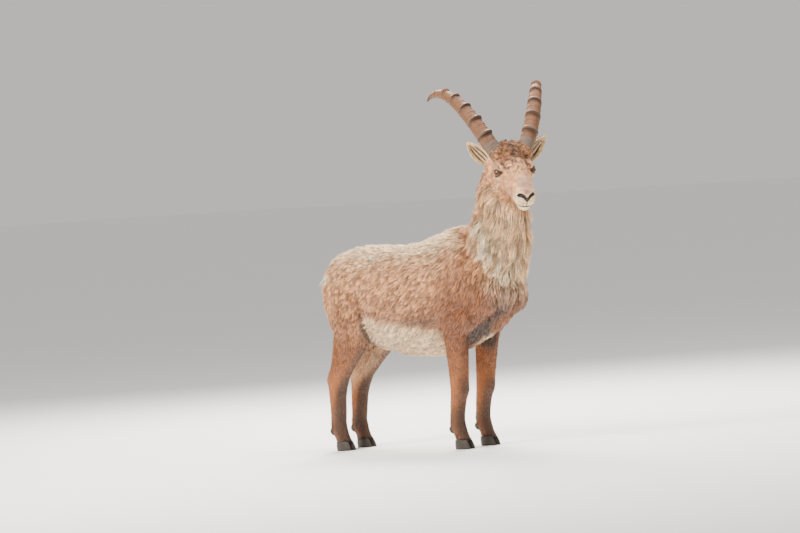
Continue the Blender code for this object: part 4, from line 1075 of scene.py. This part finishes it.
def blades(which, rings):
    """Closed blades with this many rings of three vertices and a tip: points, faces, and for each
    point its tuft, its way along it and its place on the tuft's patch."""
    wide = across[which] * tuft_width[which][:, None] / 2
    thick = normal[which] * (tuft_width[which] * 0.3)[:, None]
    route = [bottom[which], middle_point[which], tip_point[which]]
    rows, along, patch = [], [], []
    for ring in range(rings):
        share = ring / rings
        leg = min(int(share * 2), 1)
        centre = route[leg] + (route[leg + 1] - route[leg]) * (share * 2 - leg)
        size = 0.85 if ring == 0 else 1.0 - 0.35 * share**3
        rows += [centre + wide * size, centre + thick * size, centre - wide * size]
        along += [share] * 3
        patch += [(-size, 2 * share - 1), (0, 2 * share - 1), (size, 2 * share - 1)]
    points = np.stack(rows + [route[2]], axis=1).reshape(-1, 3)
    per = rings * 3 + 1
    pattern = [(0, 2, 1)]
    for ring in range(rings):
        for k in range(3):
            low, lower = ring * 3 + k, ring * 3 + (k + 1) % 3
            if ring == rings - 1:
                pattern.append((low, lower, per - 1))
            else:
                pattern += [(low, lower, lower + 3), (low, lower + 3, low + 3)]
    faces = (np.array(pattern)[None] + per * np.arange(len(which))[:, None, None]).reshape(-1, 3)
    along, patch = np.tile(along + [1.0], len(which)), np.tile(patch + [(0, 1)], (len(which), 1))
    return points, faces, np.repeat(which, per), along, patch


PATCH = 0.0015
MARGIN = 0.0003
box_low, box_high = (np.array(corner) for corner in cad_box)
for (region, side), which in pieces.items():
    long = tuft_length[which]
    kinds = np.select([long > LONG_HAIR, long > MEDIUM_HAIR], [3, 2], 1)
    parts = [blades(which[kinds == rings], rings) for rings in (1, 2, 3) if (kinds == rings).any()]
    starts = np.cumsum([0] + [len(part[0]) for part in parts])
    points, repeat, along, patch = (np.concatenate([part[k] for part in parts]) for k in (0, 2, 3, 4))
    faces = np.concatenate([part[1] + start for part, start in zip(parts, starts)])
    name = f"coat_{region}_{side}"
    mesh = bpy.data.meshes.new(name)
    mesh.vertices.add(len(points))
    mesh.loops.add(faces.size)
    mesh.polygons.add(len(faces))
    put(mesh.vertices, "co", np.clip(carried(points, BODY), box_low + MARGIN, box_high - MARGIN))
    mesh.loops.foreach_set("vertex_index", faces.astype(np.int32).ravel())
    mesh.polygons.foreach_set("loop_start", np.arange(0, faces.size, 3, dtype=np.int32))
    mesh.polygons.foreach_set("use_smooth", np.ones(len(faces), bool))
    mesh.update(calc_edges=True)
    store(mesh, "marks", root_marks[repeat].T)
    store(mesh, "more_marks", root_more[repeat].T)
    store(mesh, "strand", (along, tints[repeat], lock_shade[repeat]))
    chart = np.zeros((len(root), 2))
    chart[which] = unroll(region, SIDES[side], root[which])
    chart = chart[repeat] + patch * PATCH
    put(mesh.uv_layers.new(name="OFBake").data, "uv", chart[faces.ravel()])
    tufts = bpy.data.objects.new(name, mesh)
    bpy.context.scene.collection.objects.link(tufts)
    mesh.materials.append(coat_finish.material)
    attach(tufts, "root")

# Eyes. A wet ball in each socket: an amber iris with a slot of a pupil that lies level, dark
# towards its rim, under a clear raised cornea.
for side, sign in SIDES.items():
    middle, along = (Vector(way) for way in eye_spots[side][:2])
    eye = new_sphere(48, 32, radius=EYE_RADIUS)
    eye.name = eye.data.name = f"eyeball_{side}"
    ball = points_of(eye.data, AS_MADE)
    off_pole = lengths(ball[:, :2]) / EYE_RADIUS
    ball[:, 2] += np.where(ball[:, 2] > 0, 0.0012 * limit(1 - (off_pole / 0.66) ** 2), 0)
    put(eye.data.vertices, "co", ball)
    store(eye.data, "gaze", ball.T / EYE_RADIUS)
    # the iris faces further forward than the lids open
    axis = Vector((0.68, sign * 0.7, 0.2)).normalized()
    along = (along - axis * along.dot(axis)).normalized()
    turn = Matrix((along, axis.cross(along), axis)).transposed().to_4x4()
    eye.data.transform(HEAD @ Matrix.Translation(middle) @ turn)
    eye.data.shade_smooth()
    finish = Finish(f"eye_{side}")
    look, (across, high, _) = finish.split("gaze")
    from_axis = (across * across + high * high) ** 0.5
    slot = ((across * 0.42) ** 2 + high * high) ** 0.5
    pupil = 1 - finish.ease(slot, 0.13, 0.19)
    rim = finish.ease(from_axis, 0.5, 0.72)
    rays = finish.noise(look, 14.0, 3.0)
    iris = finish.blend(rays, (0.09, 0.032, 0.012), (0.2, 0.08, 0.026))
    colour = finish.blend(rim, iris, (0.03, 0.014, 0.01))
    colour = finish.blend(pupil, colour, (0.006, 0.005, 0.006))
    finish.feed({"Base Color": colour, "Roughness": 0.12, "Specular IOR Level": 0.3})
    finish.feed({"Coat Weight": 0.25, "Coat Roughness": 0.03})
    eye.data.materials.append(finish.material)
    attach(eye, "root")
    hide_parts(f"eye_{side}")

# Horns. A sheath of keratin over a core of bone, a scimitar with a broad flat front, fine growth
# rings all along and a raised knob across the front for each half year, with painted shadow just
# below each knob on its root side.
HORN_LENGTH = 0.45
FIRST_KNOB, KNOB_GAP = 0.13, 0.14
FINE_RINGS, BROAD_RINGS = 62, 23
HORN_HEADING, HORN_TURN = math.radians(134), math.radians(69)
steps = 400
x, z = -0.064, 0.052
line = [(x, z)]
for step in range(steps):
    share = (step + 0.5) / steps
    heading = HORN_HEADING + HORN_TURN * (share + 0.3 * share**3 + 0.35 * share**9)
    x += math.cos(heading) * HORN_LENGTH / steps
    z += math.sin(heading) * HORN_LENGTH / steps
    line.append((x, z))
line = np.array(line)
for side, sign in SIDES.items():
    horn = new_sphere(48, 300)
    horn.name = horn.data.name = f"horn_sheath_{side}"
    ball = points_of(horn.data, AS_MADE)
    t = np.arctan2(ball[:, 1], ball[:, 0])
    from_root = np.arccos(np.clip(-ball[:, 2], -1, 1)) / math.pi
    share = limit((from_root - 0.01) / 0.99)
    closing = limit(np.sin(from_root * math.pi) / math.sin(math.pi * 0.01))
    closing = np.where(share > 0.5, 1, closing)

    def centre_at(s):
        s = limit(s)
        on = np.stack([np.interp(s * steps, np.arange(steps + 1), line[:, k]) for k in (0, 1)], axis=1)
        return np.stack([on[:, 0], sign * (0.053 + 0.158 * s**0.8), on[:, 1]], axis=1)

    centre = centre_at(share)
    ahead = centre_at(np.minimum(share + 0.01, 1)) - centre_at(np.maximum(share - 0.01, 0))
    ahead /= lengths(ahead)[:, None]
    lateral = np.array([0, 1, 0]) - ahead * ahead[:, 1:2]
    lateral /= lengths(lateral)[:, None]
    front = np.cross(lateral, ahead)
    taper = limit(1 - share**2.1) ** 0.85 * 0.92 + 0.08 * fade(share, 0.985, 1.0)
    knob = np.zeros(len(share))
    for k in range(5):
        # a knob is steep on the side of the root, slopes off towards the tip and leans a little
        gap = share - (FIRST_KNOB + KNOB_GAP * k) - 0.006 * np.cos(t) + 0.004 * np.sin(t + k)
        shape = np.where(gap < 0, np.exp(-((gap / 0.008) ** 2)), np.exp(-((gap / 0.017) ** 2)))
        knob = np.maximum(knob, shape * (1.0 - 0.1 * k))
    facing = limit(np.cos(t))
    rings = np.sin(share * 2 * math.pi * FINE_RINGS + 0.8 * np.sin(t * 2)) * 0.00045 * (1 - 0.6 * share)
    rings += np.sin(share * 2 * math.pi * BROAD_RINGS + 1.3) * 0.0005
    rough = np.array([noise.noise(Vector(p) * 90) for p in centre + lateral * np.sin(t)[:, None] * 0.03])
    grain = (rings + rough * 0.0006) * ease(1 - share, 0.02, 0.12)
    cosine = np.cos(t)
    deep = 0.0318 * taper * np.sign(cosine) * np.abs(cosine) ** 0.8
    deep += 0.013 * knob * (0.15 + 0.85 * facing**0.6)
    deep += grain * cosine
    wide = 0.0285 * taper * np.sin(t) * (1 - 0.3 * limit(-cosine))
    wide += 0.0115 * 0.45 * knob * np.sin(t) * (0.4 + 0.6 * facing) + grain * np.sin(t)
    shape = centre + front * (deep * closing)[:, None] + lateral * (wide * closing)[:, None]
    put(horn.data.vertices, "co", shape)
    store(horn.data, "growth", (share, facing, knob))
    horn.data.transform(HEAD)
    edit_all(bpy.ops.mesh.normals_make_consistent)
    horn.data.shade_smooth()
    finish = Finish(f"horn_{side}")
    growth, (along, forward, raised) = finish.split("growth")
    place = finish.add("ShaderNodeTexCoord", out="Object")
    cloud = finish.noise(place, 42.0, 5.0)
    fine = finish.noise(place, 260.0, 3.0)
    values = {"Vector": growth, "Scale": 19.0, "Distortion": 2.2, "Detail": 3.0, "Detail Scale": 2.0}
    stripes = finish.add("ShaderNodeTexWave", {"bands_direction": "X"}, values)
    warm = finish.blend(cloud, (0.105, 0.041, 0.018), (0.27, 0.118, 0.05))
    worn = finish.blend(fine, (0.095, 0.074, 0.062), (0.2, 0.165, 0.14))
    grey = finish.ease(1 - along + cloud * 0.3, 1.02, 1.16) + finish.ease(raised, 0.35, 0.9) * 0.6
    colour = finish.blend(finish.clamp(grey), warm, worn)
    colour = finish.blend(finish.ease(stripes, 0.55, 1.0) * 0.6, colour, (0.06, 0.03, 0.02))
    # painted shadow: a dark band just below each knob, on its root side, strongest across the front
    up_step = (along - FIRST_KNOB) * (1 / KNOB_GAP)
    up_step = finish.add("ShaderNodeMath", {"operation": "FRACT"}, {0: up_step})
    knob_shadow = finish.ease(up_step, 0.74, 0.96) * (forward * 0.6 + 0.4) * 0.75
    colour = finish.blend(knob_shadow, colour, (0.034, 0.018, 0.013))
    colour = finish.blend(finish.ease(along, 0.86, 0.99), colour, (0.055, 0.035, 0.028))
    roughness = 0.52 + cloud * 0.25
    finish.feed({"Base Color": colour, "Roughness": roughness, "Specular IOR Level": 0.35})
    finish.bump(stripes * 0.5 + fine * 0.5, 0.25, 0.002)
    horn.data.materials.append(finish.material)
    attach(horn, "root")
    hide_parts(f"horn_{side}")

# Hooves. Two claws of dark horn under each foot, flat below, blunt at the toe and hard at the
# edge, and a small dewclaw behind each.
HOOF_HEIGHT = 0.034
CLAW_ASIDE = 0.01349
feet = {
    "foreleg_right": (FORE.x + 0.027, -FORE.y, 0.049),
    "foreleg_left": (FORE.x + 0.027, FORE.y, 0.049),
    "hindleg_right": (HIND.x + 0.022, -HIND.y, 0.052),
    "hindleg_left": (HIND.x + 0.022 + LEFT_STEP, HIND.y, 0.052),
}
hoof_finish = Finish("hoof")
place = hoof_finish.add("ShaderNodeTexCoord", out="Object")
cloud = hoof_finish.noise(place, 60.0, 4.0)
values = {"Vector": place, "Scale": 75.0, "Distortion": 1.5, "Detail": 2.0}
growth = hoof_finish.add("ShaderNodeTexWave", {"bands_direction": "Z"}, values)
colour = hoof_finish.blend(cloud, (0.016, 0.012, 0.01), (0.055, 0.042, 0.034))
hoof_finish.feed({"Base Color": colour, "Roughness": 0.4 + cloud * 0.3})
hoof_finish.bump(growth * 0.4 + cloud * 0.6, 0.2, 0.0008)
for leg, (foot_x, foot_y, behind) in feet.items():
    for half, inward in (("outer", math.copysign(1, foot_y)), ("inner", -math.copysign(1, foot_y))):
        hoof = leg.replace("leg", "hoof") + "_" + half
        middle_y = foot_y + inward * CLAW_ASIDE
        bpy.ops.object.select_all(action="DESELECT")
        bpy.ops.mesh.primitive_circle_add(vertices=32, radius=1, fill_type="NGON")
        claw = bpy.context.object
        claw.name = claw.data.name = hoof + "_horn"
        outline = points_of(claw.data, AS_MADE)
        t = np.arctan2(outline[:, 1], outline[:, 0])
        outline[:, 0] = np.cos(t) * 0.034
        outline[:, 1] = np.sin(t) * 0.0135 * (1 - 0.45 * limit(np.cos(t)) ** 2)
        outline[:, 1] = np.where(outline[:, 1] * inward < 0, outline[:, 1] * 0.72, outline[:, 1])
        put(claw.data.vertices, "co", outline)
        bpy.ops.object.mode_set(mode="EDIT")
        bpy.ops.mesh.select_all(action="SELECT")
        low = 0.0
        for level, size, back in ((0.35, 0.985, -0.002), (0.75, 0.89, -0.004), (1.0, 0.89, -0.003)):
            high = level * HOOF_HEIGHT
            bpy.ops.mesh.extrude_region_move(TRANSFORM_OT_translate={"value": (back, 0, high - low)})
            bpy.ops.transform.resize(value=(size, 0.985, 1), center_override=(0, 0, high))
            low = high
        edit_all(bpy.ops.mesh.normals_make_consistent)
        apply(claw, "BEVEL", width=0.0016, segments=3, limit_method="ANGLE", angle_limit=math.radians(50))
        claw.data.transform(BODY @ Matrix.Translation((foot_x, middle_y, 0)))
        dew = new_sphere(20, 14)
        dew.name = dew.data.name = hoof.replace("hoof", "dewclaw") + "_horn"
        spot = Matrix.Translation((foot_x - behind + 0.002, foot_y + inward * 0.015, 0.071))
        dew.data.transform(BODY @ spot @ turned(-28, "Y") @ Matrix.Diagonal((0.0088, 0.008, 0.014, 1)))
        for piece, node in ((claw, hoof), (dew, hoof.replace("hoof", "dewclaw"))):
            piece.data.shade_smooth()
            piece.data.set_sharp_from_angle(angle=math.radians(40))
            piece.data.materials.append(hoof_finish.material)
            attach(piece, "root")
            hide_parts(node)

# Floor, light and camera. A plain pale floor, soft light from above and from the camera's side,
# and the camera low on the animal's front right, with a long lens.
bpy.ops.object.select_all(action="DESELECT")
bpy.ops.mesh.primitive_plane_add(size=120, location=(0, 0, -0.0005))
floor = bpy.context.object
floor.name = "floor"
finish = Finish("floor")
finish.feed({"Base Color": (0.94, 0.94, 0.93, 1), "Roughness": 0.9})
floor.data.materials.append(finish.material)

world = bpy.data.worlds.new("studio")
bpy.context.scene.world = world
world.use_nodes = True
world.node_tree.nodes["Background"].inputs["Color"].default_value = (0.99, 0.97, 0.94, 1)
world.node_tree.nodes["Background"].inputs["Strength"].default_value = 0.66
for name, spot, size, power, tint in (
    ("key", (-0.6, -3.6, 3.4), 1.6, 320, (1.0, 0.93, 0.82)),
    ("rim", (-2.0, 2.2, 3.2), 1.6, 460, (1.0, 0.93, 0.83)),
    ("top", (0.6, 0.4, 4.4), 2.4, 230, (1.0, 0.96, 0.9)),
):
    lamp = bpy.data.lights.new(name, "AREA")
    lamp.size = size
    lamp.energy = power
    lamp.color = tint
    light = bpy.data.objects.new(name, lamp)
    bpy.context.scene.collection.objects.link(light)
    light.location = spot
    light.rotation_euler = (Vector(spot) - Vector((0, 0, 0.6))).to_track_quat("Z", "Y").to_euler()

AZIMUTH = math.radians(40)
ELEVATION = math.radians(1.5)
ROLL = math.radians(-4)
DISTANCE = 16.0
METRES_PER_PIXEL = 0.0036
HEAD_PIXEL = (514.0, 170.5)
MIDDLE_PIXEL = (400, 266.5)
level = math.cos(ELEVATION)
away = Vector((math.sin(AZIMUTH) * level, -math.cos(AZIMUTH) * level, math.sin(ELEVATION)))
turn = (-away).to_track_quat("-Z", "Y").to_matrix() @ Matrix.Rotation(ROLL, 3, "Z")
right, upward = turn @ Vector((1, 0, 0)), turn @ Vector((0, 1, 0))
lens = bpy.data.cameras.new("camera")
lens.lens = 200
lens.sensor_width = 36
lens.clip_end = 200
camera = bpy.data.objects.new("camera", lens)
bpy.context.scene.collection.objects.link(camera)
spot = HEAD.to_translation() + away * DISTANCE
aside, above = HEAD_PIXEL[0] - MIDDLE_PIXEL[0], MIDDLE_PIXEL[1] - HEAD_PIXEL[1]
spot -= right * aside * METRES_PER_PIXEL + upward * above * METRES_PER_PIXEL
camera.matrix_world = Matrix.Translation(spot) @ turn.to_4x4()
bpy.context.scene.camera = camera
